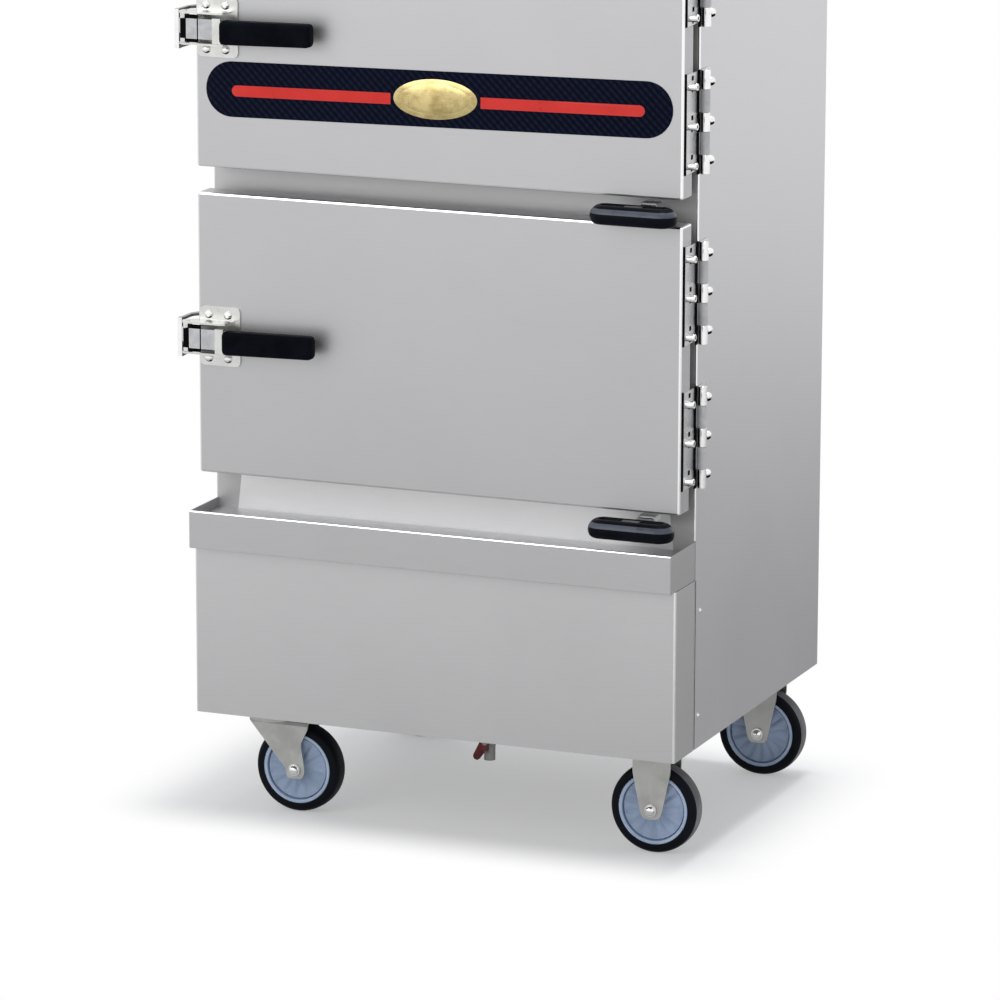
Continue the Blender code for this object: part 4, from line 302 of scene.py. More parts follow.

# %% [markdown]
# ## Effects that several finishes share
# Five effects come back in many finishes: the fine lines of a brushing belt, the
# slow cloudiness of a handled surface, rubbed edges, the painted highlight on the
# folds of sheet steel, and the pitted skin of moulded rubber. Each one is built once
# as a node group, and every finish that has the effect places the group with its own values.

# %% A group with named sockets


def effect(name, inputs, outputs):
    """An empty node group. Inputs are pairs of a name and a starting value."""
    group = bpy.data.node_groups.new(name, "ShaderNodeTree")
    for label, value in inputs:
        socket = group.interface.new_socket(label, in_out="INPUT", socket_type="NodeSocketFloat")
        socket.default_value = value
    for label in outputs:
        group.interface.new_socket(label, in_out="OUTPUT", socket_type="NodeSocketFloat")
    start = add(group, "NodeGroupInput")
    end = add(group, "NodeGroupOutput")
    return group, start, end


print("groups can be made")

# %% [markdown]
# ### Brushed grain
# A belt leaves thousands of short straight scratches. Noise that is squeezed a
# lot across the lines and hardly along them looks the same. The three inputs say
# how many lines there are per metre along x, y and z, so one group serves lines
# that run along any edge of the cabinet.

# %% Brushed grain
grain, start, end = effect("brushed_grain", (("Lines X", 40), ("Lines Y", 40), ("Lines Z", 2500)),
                           ("Shade",))
place = object_place(grain)
stretch = add(grain, "ShaderNodeCombineXYZ")
scaled = add(grain, "ShaderNodeVectorMath", operation="MULTIPLY")
lines = add(grain, "ShaderNodeTexNoise", {"Scale": 1.0, "Detail": 3.0, "Roughness": 0.65})
for axis in "XYZ":
    join(grain, (start.outputs["Lines " + axis], stretch.inputs[axis]))
chain(grain, place, scaled, lines, end)
join(grain, (stretch.outputs["Vector"], scaled.inputs[1]))
print("group:", grain.name)

# %% [markdown]
# ### Cloudiness
# Steel that has been wiped, and zinc that has been dipped, are never quite even.
# Soft noise of several sizes, with more contrast than it comes with, does for both.

# %% Cloudiness
clouds, start, end = effect("cloudiness", (("Clouds Per Metre", 5),), ("Shade",))
place = object_place(clouds)
large = add(clouds, "ShaderNodeTexNoise", {"Detail": 4.0, "Roughness": 0.55, "Distortion": 0.4})
contrast = add(clouds, "ShaderNodeMapRange", {"From Min": 0.30, "From Max": 0.70},
               interpolation_type="SMOOTHSTEP")
chain(clouds, place, large, contrast, end)
join(clouds, (start.outputs["Clouds Per Metre"], large.inputs["Scale"]))
print("group:", clouds.name)

# %% [markdown]
# ### Rubbed edges
# Hands, cloths and trays polish the edges of a part, so they are lighter than its
# flats. The Bevel node gives the direction that a rounded edge would face. Where it
# differs from the real direction of the surface, there is an edge. A patchy noise
# breaks the mask up.

# %% Rubbed edges
edges, start, end = effect("rubbed_edges", (("Width", 0.002), ("Break", 60)), ("Mask",))
rounded = add(edges, "ShaderNodeBevel", samples=6)
flat = add(edges, "ShaderNodeNewGeometry")
alike = add(edges, "ShaderNodeVectorMath", operation="DOT_PRODUCT")
turn = add(edges, "ShaderNodeMapRange", {"From Min": 0.995, "From Max": 0.80})
place = object_place(edges)
patchy = add(edges, "ShaderNodeTexNoise", {"Detail": 3.0})
patch = add(edges, "ShaderNodeMapRange", {"From Min": 0.30, "From Max": 0.60, "To Min": 0.45})
worn = add(edges, "ShaderNodeMath", operation="MULTIPLY")
chain(edges, start.outputs["Width"], rounded, alike)
chain(edges, alike.outputs["Value"], turn, worn, end)
join(edges, (flat.outputs["Normal"], alike.inputs[1]), (start.outputs["Break"], patchy.inputs["Scale"]),
     (chain(edges, place, patchy, patch), worn.inputs[1]))
print("group:", edges.name)

# %% [markdown]
# ### Painted highlights on folds
# Light runs along the bends of folded sheet as a thin bright line, so a highlight is
# painted there. On a flat sheet one part of the normal is one and the others are
# zero. On a bend no part is one, so the largest part tells where the bends are.

# %% Painted fold highlights
fold_highlight_group, start, end = effect("bright_folds", (), ("Mask",))
place = add(fold_highlight_group, "ShaderNodeTexCoord")
size = add(fold_highlight_group, "ShaderNodeVectorMath", operation="ABSOLUTE")
parts = add(fold_highlight_group, "ShaderNodeSeparateXYZ")
larger = add(fold_highlight_group, "ShaderNodeMath", operation="MAXIMUM")
largest = add(fold_highlight_group, "ShaderNodeMath", operation="MAXIMUM")
bent = add(fold_highlight_group, "ShaderNodeMapRange", {"From Min": 0.985, "From Max": 0.86},
           interpolation_type="SMOOTHSTEP")
chain(fold_highlight_group, place.outputs["Normal"], size, parts, larger, largest, bent, end)
join(fold_highlight_group, (parts.outputs["Y"], larger.inputs[1]), (parts.outputs["Z"], largest.inputs[1]))
print("group:", fold_highlight_group.name)

# %% [markdown]
# ### Moulded skin
# Rubber and moulded plastic come out of the mould with a fine pitted skin. A noise
# with much detail gives pits of several sizes.

# %% Moulded skin
skin, start, end = effect("moulded_skin", (("Pits Per Metre", 900),), ("Shade",))
place = object_place(skin)
pits = add(skin, "ShaderNodeTexNoise", {"Detail": 5.0, "Roughness": 0.7})
chain(skin, place, pits, end)
join(skin, (start.outputs["Pits Per Metre"], pits.inputs["Scale"]))
print("group:", skin.name)

# %% [markdown]
# ## A recipe for steel
# All the metal is made by one recipe with different values: the grain gives
# direction, the clouds change tone and roughness slowly, and rubbed edges turn
# lighter. On sheet steel the folds take a painted highlight instead. The metallic
# value is set on the shader itself.

# %% Steel


def new_finish(name):
    """A material with nodes, its tree and its shader."""
    made = bpy.data.materials.new(name)
    made.use_nodes = True
    return made, made.node_tree, made.node_tree.nodes["Principled BSDF"]


def place_group(tree, group, values=None):
    """One of the shared effects, placed in a finish with its own values."""
    return add(tree, "ShaderNodeGroup", values, node_tree=group)


def roughen(tree, shader, height, strength, depth):
    """A bump of this strength and depth, from a socket's heights."""
    bump = add(tree, "ShaderNodeBump", {"Strength": strength, "Distance": depth})
    join(tree, (height, bump.inputs["Height"]), (bump.outputs["Normal"], shader.inputs["Normal"]))


def steel(name, dark, light, edge, lines, rough, patches=5, edge_width=0.002, grain_share=0.5,
          folds=False):
    """A brushed, plated or polished metal. Lines along x, y and z and patches are per metre."""
    made, tree, shader = new_finish(name)
    shader.inputs["Metallic"].default_value = 1.0
    brushed = place_group(tree, grain, dict(zip(("Lines X", "Lines Y", "Lines Z"), lines)))
    cloudy = place_group(tree, clouds, {"Clouds Per Metre": patches})
    # When fold highlights are asked for, the lighter edges are a painted highlight along every bend;
    # otherwise they are rubbed edges.
    edge_wear_or_fold_highlight = place_group(tree, fold_highlight_group) if folds else place_group(tree, edges, {"Width": edge_width})
    shade = add(tree, "ShaderNodeMix", {"Factor": grain_share}, data_type="FLOAT")
    join(tree, (cloudy.outputs["Shade"], shade.inputs["A"]), (brushed.outputs["Shade"], shade.inputs["B"]))
    body = blended(tree, shade.outputs["Result"], dark, light)
    join(tree, (blended(tree, edge_wear_or_fold_highlight.outputs["Mask"], body, edge), shader.inputs["Base Color"]),
         (fitted(tree, shade.outputs["Result"], *rough), shader.inputs["Roughness"]))
    roughen(tree, shader, brushed.outputs["Shade"], strength=0.6, depth=0.00002)
    return made


# The sheet finishes paint a highlight in their edge colour along every bend.
SHEET = {"rough": (0.38, 0.48), "grain_share": 0.85, "folds": True}
SHEET_ACROSS = steel("sheet_brushed_across", (0.49, 0.49, 0.50), (0.56, 0.56, 0.57), (0.95, 0.95, 0.96),
                     (30, 900, 1600), **SHEET)
# The skirt is the doors' steel painted lighter: painted light on the low front.
LIT_SKIRT = steel("skirt_brushed_across", (0.57, 0.57, 0.58), (0.64, 0.64, 0.65), (0.95, 0.95, 0.96),
              (30, 900, 1600), **SHEET)
# The side and back panels are the same steel painted lighter than the front sheets: painted light.
SHEET_UPRIGHT = steel("sheet_brushed_upright", (0.63, 0.63, 0.65), (0.71, 0.71, 0.73), (0.97, 0.97, 0.98),
                      (1600, 1600, 30), **SHEET)
FRAME = steel("frame_sheet", (0.50, 0.50, 0.505), (0.58, 0.58, 0.585), (0.75, 0.75, 0.76),
              (30, 900, 1600), (0.46, 0.58), grain_share=0.85)
# The low rail is the frame's steel painted much lighter: painted light.
RAIL_LIT = steel("rail_sheet", (0.86, 0.86, 0.865), (0.96, 0.96, 0.965), (1.0, 1.0, 1.0),
             (30, 900, 1600), (0.46, 0.58), grain_share=0.85)
# The keepers' steel is painted dark for the shade on them; the fronts of their bars take a painted highlight.
KEEPER_SHADED = steel("keeper_steel", (0.20, 0.20, 0.20), (0.34, 0.34, 0.335), (0.62, 0.62, 0.61),
               (300, 300, 300), (0.24, 0.38), patches=60, edge_width=0.0009)
# A bright steel for painted highlights on folds and edges.
FOLD_HIGHLIGHT = steel("fold_line", (0.95, 0.95, 0.955), (1.0, 1.0, 1.0), (1.0, 1.0, 1.0),
             (90, 90, 90), (0.16, 0.26), patches=12, edge_width=0.0006)
BOLT = steel("bolt_steel", (0.84, 0.84, 0.84), (0.98, 0.98, 0.98), (1.0, 1.0, 1.0),
             (500, 500, 500), (0.10, 0.20), patches=70, edge_width=0.0005)
LINER = steel("liner_sheet", (0.56, 0.56, 0.57), (0.68, 0.68, 0.69), (0.85, 0.85, 0.86),
              (40, 1300, 1300), (0.26, 0.42), patches=9)
BASE = steel("angle_steel", (0.30, 0.30, 0.31), (0.46, 0.46, 0.47), (0.66, 0.66, 0.67),
             (200, 200, 900), (0.45, 0.62), patches=14)
TANK = steel("tank_sheet", (0.44, 0.45, 0.46), (0.58, 0.59, 0.60), (0.75, 0.75, 0.76),
             (500, 60, 700), (0.34, 0.50), patches=12)
HEATER = steel("heater_steel", (0.42, 0.40, 0.37), (0.62, 0.60, 0.57), (0.78, 0.78, 0.77),
               (400, 400, 400), (0.28, 0.44), patches=40)
HINGE = steel("hinge_steel", (0.58, 0.58, 0.59), (0.76, 0.76, 0.77), (0.97, 0.97, 0.98),
              (900, 900, 120), (0.22, 0.36), patches=30, edge_width=0.0009)
BRIGHT = steel("polished_cap", (0.72, 0.72, 0.73), (0.86, 0.86, 0.87), (0.98, 0.98, 0.98),
               (700, 700, 700), (0.12, 0.22), patches=60, edge_width=0.0006)
LATCH = steel("latch_plate", (0.58, 0.58, 0.56), (0.80, 0.80, 0.78), (0.98, 0.98, 0.97),
              (700, 700, 500), (0.24, 0.38), patches=45, edge_width=0.0009)
LEVER = steel("latch_lever_steel", (0.62, 0.62, 0.61), (0.82, 0.82, 0.81), (0.98, 0.98, 0.98),
              (200, 200, 1500), (0.16, 0.30), patches=50, edge_width=0.0009)
ZINC = steel("caster_zinc", (0.47, 0.47, 0.455), (0.62, 0.62, 0.60), (0.80, 0.80, 0.78),
             (260, 260, 260), (0.36, 0.52), patches=38, edge_width=0.0012, grain_share=0.25)
VALVE = steel("valve_metal", (0.20, 0.20, 0.195), (0.34, 0.34, 0.33), (0.55, 0.55, 0.54),
              (500, 500, 500), (0.32, 0.48), patches=70, edge_width=0.0007)
print("materials so far:", len(bpy.data.materials))

# %% [markdown]
# ## A recipe for rubber and moulded plastic
# These are not metal. The skin gives a fine pitted bump, the clouds change how dry
# or greasy the surface looks, and rubbed edges turn a little paler.

# %% Rubber and plastic


def moulded(name, dark, light, edge, rough, pits=900, patches=20, edge_width=0.0015,
            depth=0.00008, gloss=0.3):
    """A moulded skin, from dull rubber to shiny plastic. Pits and patches are per metre."""
    made, tree, shader = new_finish(name)
    shader.inputs["Specular IOR Level"].default_value = gloss
    pitted = place_group(tree, skin, {"Pits Per Metre": pits})
    cloudy = place_group(tree, clouds, {"Clouds Per Metre": patches})
    edge_wear_or_fold_highlight = place_group(tree, edges, {"Width": edge_width})
    body = blended(tree, cloudy.outputs["Shade"], dark, light)
    join(tree, (blended(tree, edge_wear_or_fold_highlight.outputs["Mask"], body, edge), shader.inputs["Base Color"]),
         (fitted(tree, cloudy.outputs["Shade"], *rough), shader.inputs["Roughness"]))
    roughen(tree, shader, pitted.outputs["Shade"], strength=0.5, depth=depth)
    return made


TYRE = moulded("tyre_rubber", (0.0025, 0.003, 0.006), (0.006, 0.007, 0.012), (0.02, 0.02, 0.026),
               (0.45, 0.62), pits=1300, patches=30, gloss=0.10)
HUB = moulded("hub_nylon", (0.34, 0.43, 0.58), (0.44, 0.54, 0.72), (0.66, 0.74, 0.90), (0.40, 0.54),
              pits=700, patches=25, edge_width=0.0012)
HUB_RING = moulded("hub_ring_nylon", (0.45, 0.56, 0.74), (0.55, 0.67, 0.85), (0.72, 0.80, 0.94), (0.36, 0.48),
                   pits=700, patches=25, edge_width=0.0010)
GRIP = moulded("latch_grip_rubber", (0.0015, 0.002, 0.004), (0.004, 0.005, 0.009), (0.02, 0.02, 0.024),
               (0.48, 0.62), pits=1500, patches=45, gloss=0.03)
DAMPER = moulded("damper_grip_plastic", (0.0015, 0.002, 0.004), (0.004, 0.005, 0.009), (0.035, 0.045, 0.07),
                 (0.30, 0.42), pits=500, patches=40, depth=0.00003, gloss=0.06)
# A painted blue grey sheen where the upper front of the damper grips catches the light.
SHOULDER_SHEEN = moulded("damper_grip_shoulder", (0.060, 0.070, 0.092), (0.105, 0.118, 0.150), (0.20, 0.22, 0.26),
                   (0.22, 0.34), pits=500, patches=30, depth=0.00003, gloss=0.25)
GAP = moulded("shadow_gap", (0.002, 0.002, 0.002), (0.005, 0.005, 0.005), (0.008, 0.008, 0.008),
              (0.60, 0.75), pits=1200, gloss=0.02)
KNUCKLE_GREY = moulded("knuckle_grey", (0.48, 0.48, 0.485), (0.62, 0.62, 0.625), (0.80, 0.80, 0.80),
                       (0.30, 0.42), pits=500, patches=70, gloss=0.6, depth=0.00002)
LIT_TREAD = moulded("tread_rubber", (0.14, 0.14, 0.145), (0.22, 0.22, 0.225), (0.30, 0.30, 0.30),
                (0.60, 0.75), pits=1500, patches=25, gloss=0.10)
GASKET = moulded("gasket_rubber", (0.035, 0.035, 0.036), (0.070, 0.070, 0.072), (0.12, 0.12, 0.12),
                 (0.60, 0.78), pits=1000)
GLAND = moulded("gland_nylon", (0.016, 0.016, 0.018), (0.035, 0.035, 0.038), (0.09, 0.09, 0.09), (0.38, 0.55),
                pits=1200, edge_width=0.0007)
LEVER_RED = moulded("drain_lever_coating", (0.09, 0.010, 0.010), (0.18, 0.022, 0.022), (0.34, 0.09, 0.08),
                    (0.30, 0.48), pits=900, patches=90, edge_width=0.0006)
WOOL = moulded("mineral_wool", (0.48, 0.41, 0.25), (0.68, 0.60, 0.42), (0.72, 0.66, 0.50), (0.90, 0.98),
               pits=400, patches=35, depth=0.0012)
print("rubber and plastic finishes ready")

# %% [markdown]
# ## Dressing the solids
# Each solid takes its finish by the end of its name. The front sheets were brushed
# from side to side and the tall side panels up and down, as they lay on the belt.
# A modifier keeps the shading of large flats flat right up to their rounded edges.
# The folds that face up or to the right take a brighter steel, a painted highlight.
# The low rail behind the gutter takes a much lighter steel, painted light, and the
# front of each keeper's bar takes the bright bolt steel, a painted highlight on
# keepers whose own steel is painted dark for shade.

# %% Which solid wears what


def second_finish(mesh, is_chosen):
    """Give the faces that pass the test the second finish of the mesh. It returns how many."""
    chosen = [face for face in mesh.polygons if is_chosen(face)]
    for face in chosen:
        face.material_index = 1
    return len(chosen)


DRESS = (
    (SHEET_UPRIGHT, "left_side_panel", "right_side_panel", "back_panel"),
    (SHEET_ACROSS, "top_panel", "drip_gutter", "door_shell"),
    (LIT_SKIRT, "front_skirt"),
    (FRAME, "front_frame"),
    (LINER, "chamber_liner", "door_liner", "damper_plate"),
    (HINGE, "hinge_fixed_leaf", "hinge_door_leaf"),
    (LATCH, "latch_bracket"),
    (KEEPER_SHADED, "latch_keeper"),
    (LEVER, "latch_lever"),
    (GRIP, "latch_grip"),
    (DAMPER, "damper_grip"),
    (GASKET, "door_gasket"),
    (ZINC, "caster_fork", "caster_plate"),
    (BRIGHT, "caster_axle"),
    (TYRE, "wheel_tyre"),
    (HUB, "wheel_hub"),
    (VALVE, "drain_valve_body"),
    (LEVER_RED, "drain_valve_lever"),
    (BASE, "base_frame"),
    (TANK, "water_tank"),
    (HEATER, "heating_element"),
    (GLAND, "cable_gland"),
    (WOOL, "wall_insulation"),
)

for name, node in frame["nodes"].items():
    finish = [wears for wears, *ends in DRESS if name.endswith(tuple(ends))][0]
    node.data.materials.clear()
    node.data.materials.append(finish)
    flats = node.modifiers.new("flat_stays_flat", "WEIGHTED_NORMAL")
    flats.keep_sharp = True

FLAT_NORMAL = 0.985
FOLD_TURN = 0.3
RAIL_TOP = 0.56
KEEPER_BAR_RIGHT = at(-0.374, 0, 0).x
BAR_FRONT_TURN = -0.5
SHEETS = ("right_side_panel", "front_skirt", "drip_gutter", "upper_door_shell", "lower_door_shell")
KEEPERS = ("upper_latch_keeper", "lower_latch_keeper")


def is_fold_facing_light(face):
    """Whether a face belongs to a bend and looks up or to the right, and so takes a painted highlight."""
    is_bent = max(abs(part) for part in face.normal) < FLAT_NORMAL
    return is_bent and max(face.normal.x, face.normal.z) > FOLD_TURN


def is_on_rail(face):
    """Whether a face of the front frame lies on the rail behind the gutter."""
    points = frame["nodes"]["front_frame"].data.vertices
    return max(points[index].co.z for index in face.vertices) < RAIL_TOP


def is_lit_bar_front(face):
    """Whether a face of a keeper is the front of its upright bar, which takes a painted highlight."""
    return face.normal.y < BAR_FRONT_TURN and face.center.x < KEEPER_BAR_RIGHT


# Painted highlights on folds and keeper bars, and painted light on the low rail.
painted_light_faces = 0
for names, finish, test in ((SHEETS, FOLD_HIGHLIGHT, is_fold_facing_light), (("front_frame",), RAIL_LIT, is_on_rail),
                            (KEEPERS, BOLT, is_lit_bar_front)):
    for name in names:
        mesh = frame["nodes"][name].data
        mesh.materials.append(finish)
        painted_light_faces += second_finish(mesh, test)
print("dressed", len(frame["nodes"]), "solids,", painted_light_faces, "brighter faces")

# %% [markdown]
# ## Making pieces
# The small pieces are made point by point. A ring of points is turned about an axis
# for round things, and an outline is pushed out for flat things. Either way, faces
# bridge each ring to the next. Each new piece is then told which body it rides on
# and given its finishes.

# %% Turning and pushing out


def new_piece(name, shape, finishes, body, sharp=35):
    """A mesh made into a piece that rides on a body."""
    mesh = bpy.data.meshes.new(name)
    bmesh.ops.recalc_face_normals(shape, faces=shape.faces[:])
    shape.to_mesh(mesh)
    shape.free()
    mesh.shade_smooth()
    mesh.set_sharp_from_angle(angle=radians(sharp))
    for finish in finishes:
        mesh.materials.append(finish)
    piece = bpy.data.objects.new(name, mesh)
    bpy.context.scene.collection.objects.link(piece)
    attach(piece, body)
    return piece


def bridge(shape, rings, closed=False, caps=False):
    """Faces from each ring of points to the next. Closed joins the last to the first, caps fill the ends."""
    for first, second in zip(rings, rings[1:] + rings[:1] if closed else rings[1:]):
        for step in range(len(first)):
            after = (step + 1) % len(first)
            corners = (first[step], first[after], second[after], second[step])
            shape.faces.new(list(dict.fromkeys(corners)))
    if caps:
        shape.faces.new(rings[0])
        shape.faces.new(rings[-1][::-1])


def full_turn(steps):
    """The angles of even steps round a circle."""
    return [2 * pi * step / steps for step in range(steps)]


def arc(start, degrees, steps):
    """The angles of even steps along a part of a circle, both ends included."""
    return [radians(start + degrees * step / steps) for step in range(steps + 1)]


def turn_profile(shape, profile, place, axis, steps=32, closed=False):
    """A profile of (radius, height) pairs, turned about an axis."""
    axis = axis.normalized()
    side = axis.orthogonal().normalized()
    other = axis.cross(side)
    rings = []
    for radius, height in profile:
        middle = place + axis * height
        if radius == 0:
            rings.append([shape.verts.new(middle)] * steps)
            continue
        rings.append([shape.verts.new(middle + (side * cos(angle) + other * sin(angle)) * radius)
                      for angle in full_turn(steps)])
    bridge(shape, rings, closed)


def push_plate(shape, outline, back_y, front_y, rounding, centre, tilt=0.0):
    """A flat plate that faces the front, with a rounded front edge. Tilt is its climb per metre."""
    rings = []
    for share, y in ((0, back_y), (0, front_y + rounding), (0.3, front_y + rounding * 0.3), (1, front_y)):
        ring = []
        for x, z in outline:
            inward = Vector((centre[0] - x, 0, centre[1] - z)).normalized()
            ring.append(shape.verts.new(at(x, y, z + tilt * x) + inward * rounding * share))
        rings.append(ring)
    bridge(shape, rings, caps=True)


def round_ended(left, right, z, radius, steps=20, round_left=True, round_right=True):
    """The outline of a bar with round ends, as (x, z) points."""
    points = []
    for start, x, is_round in ((90, left, round_left), (270, right, round_right)):
        if not is_round:
            corners = [(x, z + radius), (x, z - radius)]
            points += corners if x == left else corners[::-1]
            continue
        inset = radius if x == left else -radius
        points += [(x + inset + radius * cos(angle), z + radius * sin(angle))
                   for angle in arc(start, 180, steps)]
    return points


print("piece helpers ready")

# %% [markdown]
# ## The strip on the upper door
# The upper door carries a dark strip with round ends, a woven pattern, two red bars
# and a plain gold plate in its middle, a stepped oval. The strip climbs a little to
# the right. The weave is a wave texture turned by 45 degrees, crossed by a second
# one.

# %% Finishes of the strip
NAVY, tree, shader = new_finish("woven_navy")
shader.inputs["Specular IOR Level"].default_value = 0.03
place = object_place(tree)
slant = add(tree, "ShaderNodeMapping", {"Rotation": (0, radians(45), 0)})
threads = add(tree, "ShaderNodeTexWave", {"Scale": 43, "Distortion": 0.6, "Detail Scale": 8},
              bands_direction="X")
crossing = add(tree, "ShaderNodeTexWave", {"Scale": 31}, bands_direction="Z")
woven = add(tree, "ShaderNodeMath", operation="MULTIPLY")
chain(tree, place, slant, threads)
chain(tree, slant.outputs["Vector"], crossing)
join(tree, (threads.outputs["Fac"], woven.inputs[0]),
     (fitted(tree, crossing.outputs["Fac"], 0.55, 1.0), woven.inputs[1]))
dark_blue = blended(tree, woven.outputs[0], (0.0022, 0.003, 0.010), (0.010, 0.014, 0.034))
join(tree, (dark_blue, shader.inputs["Base Color"]),
     (fitted(tree, woven.outputs[0], 0.50, 0.34), shader.inputs["Roughness"]))
roughen(tree, shader, woven.outputs[0], strength=0.4, depth=0.0001)

RED = moulded("red_enamel", (0.68, 0.026, 0.020), (0.78, 0.038, 0.028), (0.86, 0.12, 0.10), (0.26, 0.36),
              pits=600, patches=14, edge_width=0.0006, depth=0.00002)
GOLD = steel("gold_plate", (0.34, 0.25, 0.09), (0.80, 0.66, 0.32), (0.98, 0.90, 0.62),
             (60, 60, 420), (0.20, 0.34), patches=55, edge_width=0.0012)
print("strip finishes ready")

# %% The strip itself
STRIP_LEFT = -0.335
STRIP_RIGHT = 0.333
STRIP_MIDDLE = (STRIP_LEFT + STRIP_RIGHT) / 2
STRIP_Z = 1.024
STRIP_HALF = 0.0375
STRIP_BACK = DOOR_FRONT - 0.00005
STRIP_FRONT = DOOR_FRONT - 0.0008
STRIP_ROUNDING = 0.0004
CLIMB = 0.0150
BARS = ((-0.297, -0.066, True), (0.063, 0.294, False))
BAR_Z = STRIP_Z - 0.002
BAR_HALF = 0.0075
BAR_FRONT = STRIP_FRONT - 0.0002
BAR_ROUNDING = 0.0001
ROOT = STRIP_FRONT + 0.0004
PLATE_X = -0.0015
PLATE_ROUNDING = 0.0006
OVAL_STEPS = 64
PLATE_STEPS = ((0.060, 0.027, 0.0011), (0.050, 0.0205, 0.0018), (0.046, 0.0165, 0.0013))

shape = bmesh.new()
outline = round_ended(STRIP_LEFT, STRIP_RIGHT, STRIP_Z, STRIP_HALF)
push_plate(shape, outline, STRIP_BACK, STRIP_FRONT, STRIP_ROUNDING, (STRIP_MIDDLE, STRIP_Z), CLIMB)
new_piece("door_strip", shape, [NAVY], "upper_door")

shape = bmesh.new()
for left, right, round_left in BARS:
    outline = round_ended(left, right, BAR_Z, BAR_HALF, 10, round_left, not round_left)
    push_plate(shape, outline, ROOT, BAR_FRONT, BAR_ROUNDING, ((left + right) / 2, BAR_Z), CLIMB)
new_piece("door_strip_bars", shape, [RED], "upper_door")

shape = bmesh.new()
for half_width, half_height, rise in PLATE_STEPS:
    outline = [(PLATE_X + half_width * cos(angle), STRIP_Z + half_height * sin(angle))
               for angle in full_turn(OVAL_STEPS)]
    push_plate(shape, outline, ROOT, STRIP_FRONT - rise, PLATE_ROUNDING, (PLATE_X, STRIP_Z), CLIMB)
new_piece("door_strip_plate", shape, [GOLD], "upper_door")
print("strip:", round(STRIP_RIGHT - STRIP_LEFT, 3), "m wide")

# %% [markdown]
# ## Screws on the side panels
# Two small round-headed screws hold each side panel to the base, low down near the
# front. A head is a short dome on a thin washer.

# %% Side screws
SCREW_HEAD = ((0.0, 0.0019), (0.0016, 0.00175), (0.0027, 0.0012), (0.0032, 0.0004), (0.0044, 0.0003),
              (0.0044, 0.0))
SCREW_PLACES = ((0.019, 0.346), (0.0155, 0.202))
for side, name in ((1, "right"), (-1, "left")):
    shape = bmesh.new()
    for y, z in SCREW_PLACES:
        turn_profile(shape, SCREW_HEAD, at(side * BODY_HALF, y, z), Vector((side, 0, 0)), steps=24)
    new_piece(name + "_panel_screws", shape, [BRIGHT], "cabinet")
print("screws on both sides")

# %% [markdown]
# ## Wheels
# The tyre is a plain band with round shoulders, and the hub is a nylon disc: a pale
# ring at the rim, a groove inside it, and a dished face with fourteen soft flutes
# that run out from the boss. The solids have the same widths and radii but few
# facets, so a finer tyre and hub take their places. The treads of the right wheels
# are painted a lighter grey, a painted highlight where the light grazes them.

# %% Tyre and hub
WHEELS = {
    "front_left": (-0.244, 0.040),
    "front_right": (0.283, 0.040),
    "rear_left": (-0.244, 0.465),
    "rear_right": (0.283, 0.465),
}
WHEEL_Z = 0.0625
TYRE_PROFILE = ((0.0500, 0.0160), (0.0548, 0.0160), (0.0580, 0.0152), (0.0602, 0.0132), (0.0616, 0.0104),
                (0.0622, 0.0060), (0.0625, 0.0))
HUB_FRONT = ((0.0062, 0.0172), (0.0112, 0.0172), (0.0124, 0.0164), (0.0130, 0.0122), (0.0180, 0.0108),
             (0.0260, 0.0106), (0.0340, 0.0112), (0.0400, 0.0120), (0.0424, 0.0122), (0.0430, 0.0112),
             (0.0434, 0.0080), (0.0445, 0.0080), (0.0449, 0.0146), (0.0456, 0.0153), (0.0486, 0.0155),
             (0.0494, 0.0150), (0.0498, 0.0138))
FLUTES = 14
FLUTE_STEPS = 12
FLUTE_DEPTH = 0.0026
FLUTE_START = 0.0165
FLUTE_RUN_IN = 0.009
FLUTE_END = 0.0418
FLUTE_RUN_OUT = 0.002
TREAD_FROM = 0.058
TREAD_TURN = 0.35
RING_FROM = 0.0447
TO_FRONT = Vector((0, -1, 0))


def mirrored(profile):
    """A half profile and its mirror image, in one closed run."""
    return list(profile) + [(radius, -height) for radius, height in reversed(profile) if height > 0]


def flute(angle, radius):
    """How far the hub's face sinks here, from 0 to 1."""
    run_in = min(max((radius - FLUTE_START) / FLUTE_RUN_IN, 0), 1)
    run_out = min(max((FLUTE_END - radius) / FLUTE_RUN_OUT, 0), 1)
    return run_in * run_out * (0.5 - 0.5 * cos(FLUTES * angle)) ** 1.6


def hub_shape(place):
    """The fluted hub as one closed mesh, turned about a line along Y."""
    shape = bmesh.new()
    rings = []
    for radius, height in mirrored(HUB_FRONT):
        ring = []
        for angle in full_turn(FLUTES * FLUTE_STEPS):
            sunk = height - copysign(FLUTE_DEPTH * flute(angle, radius), height)
            offset = Vector((radius * cos(angle), -sunk, radius * sin(angle)))
            ring.append(shape.verts.new(place + offset))
        rings.append(ring)
    bridge(shape, rings, closed=True)
    return shape


for corner, (x, y) in WHEELS.items():
    place = at(x, y, WHEEL_Z)
    wheel = corner + "_wheel"
    shape = bmesh.new()
    turn_profile(shape, mirrored(TYRE_PROFILE), place, TO_FRONT, steps=128, closed=True)
    tyre = new_piece(corner + "_tyre_band", shape, [TYRE, LIT_TREAD], wheel)
    # A painted highlight: the treads of the right wheels take the lighter rubber.
    if corner.endswith("right"):
        second_finish(tyre.data, lambda face: abs(face.normal.y) < TREAD_TURN
                      and (face.center - place).length > TREAD_FROM)
    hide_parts(wheel + "_tyre")
    hub = new_piece(corner + "_hub_disc", hub_shape(place), [HUB, HUB_RING], wheel)
    second_finish(hub.data, lambda face: (face.center - place).xz.length > RING_FROM)
    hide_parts(wheel + "_hub")
print("wheels:", len(WHEELS), "hub faces:", len(hub.data.polygons))

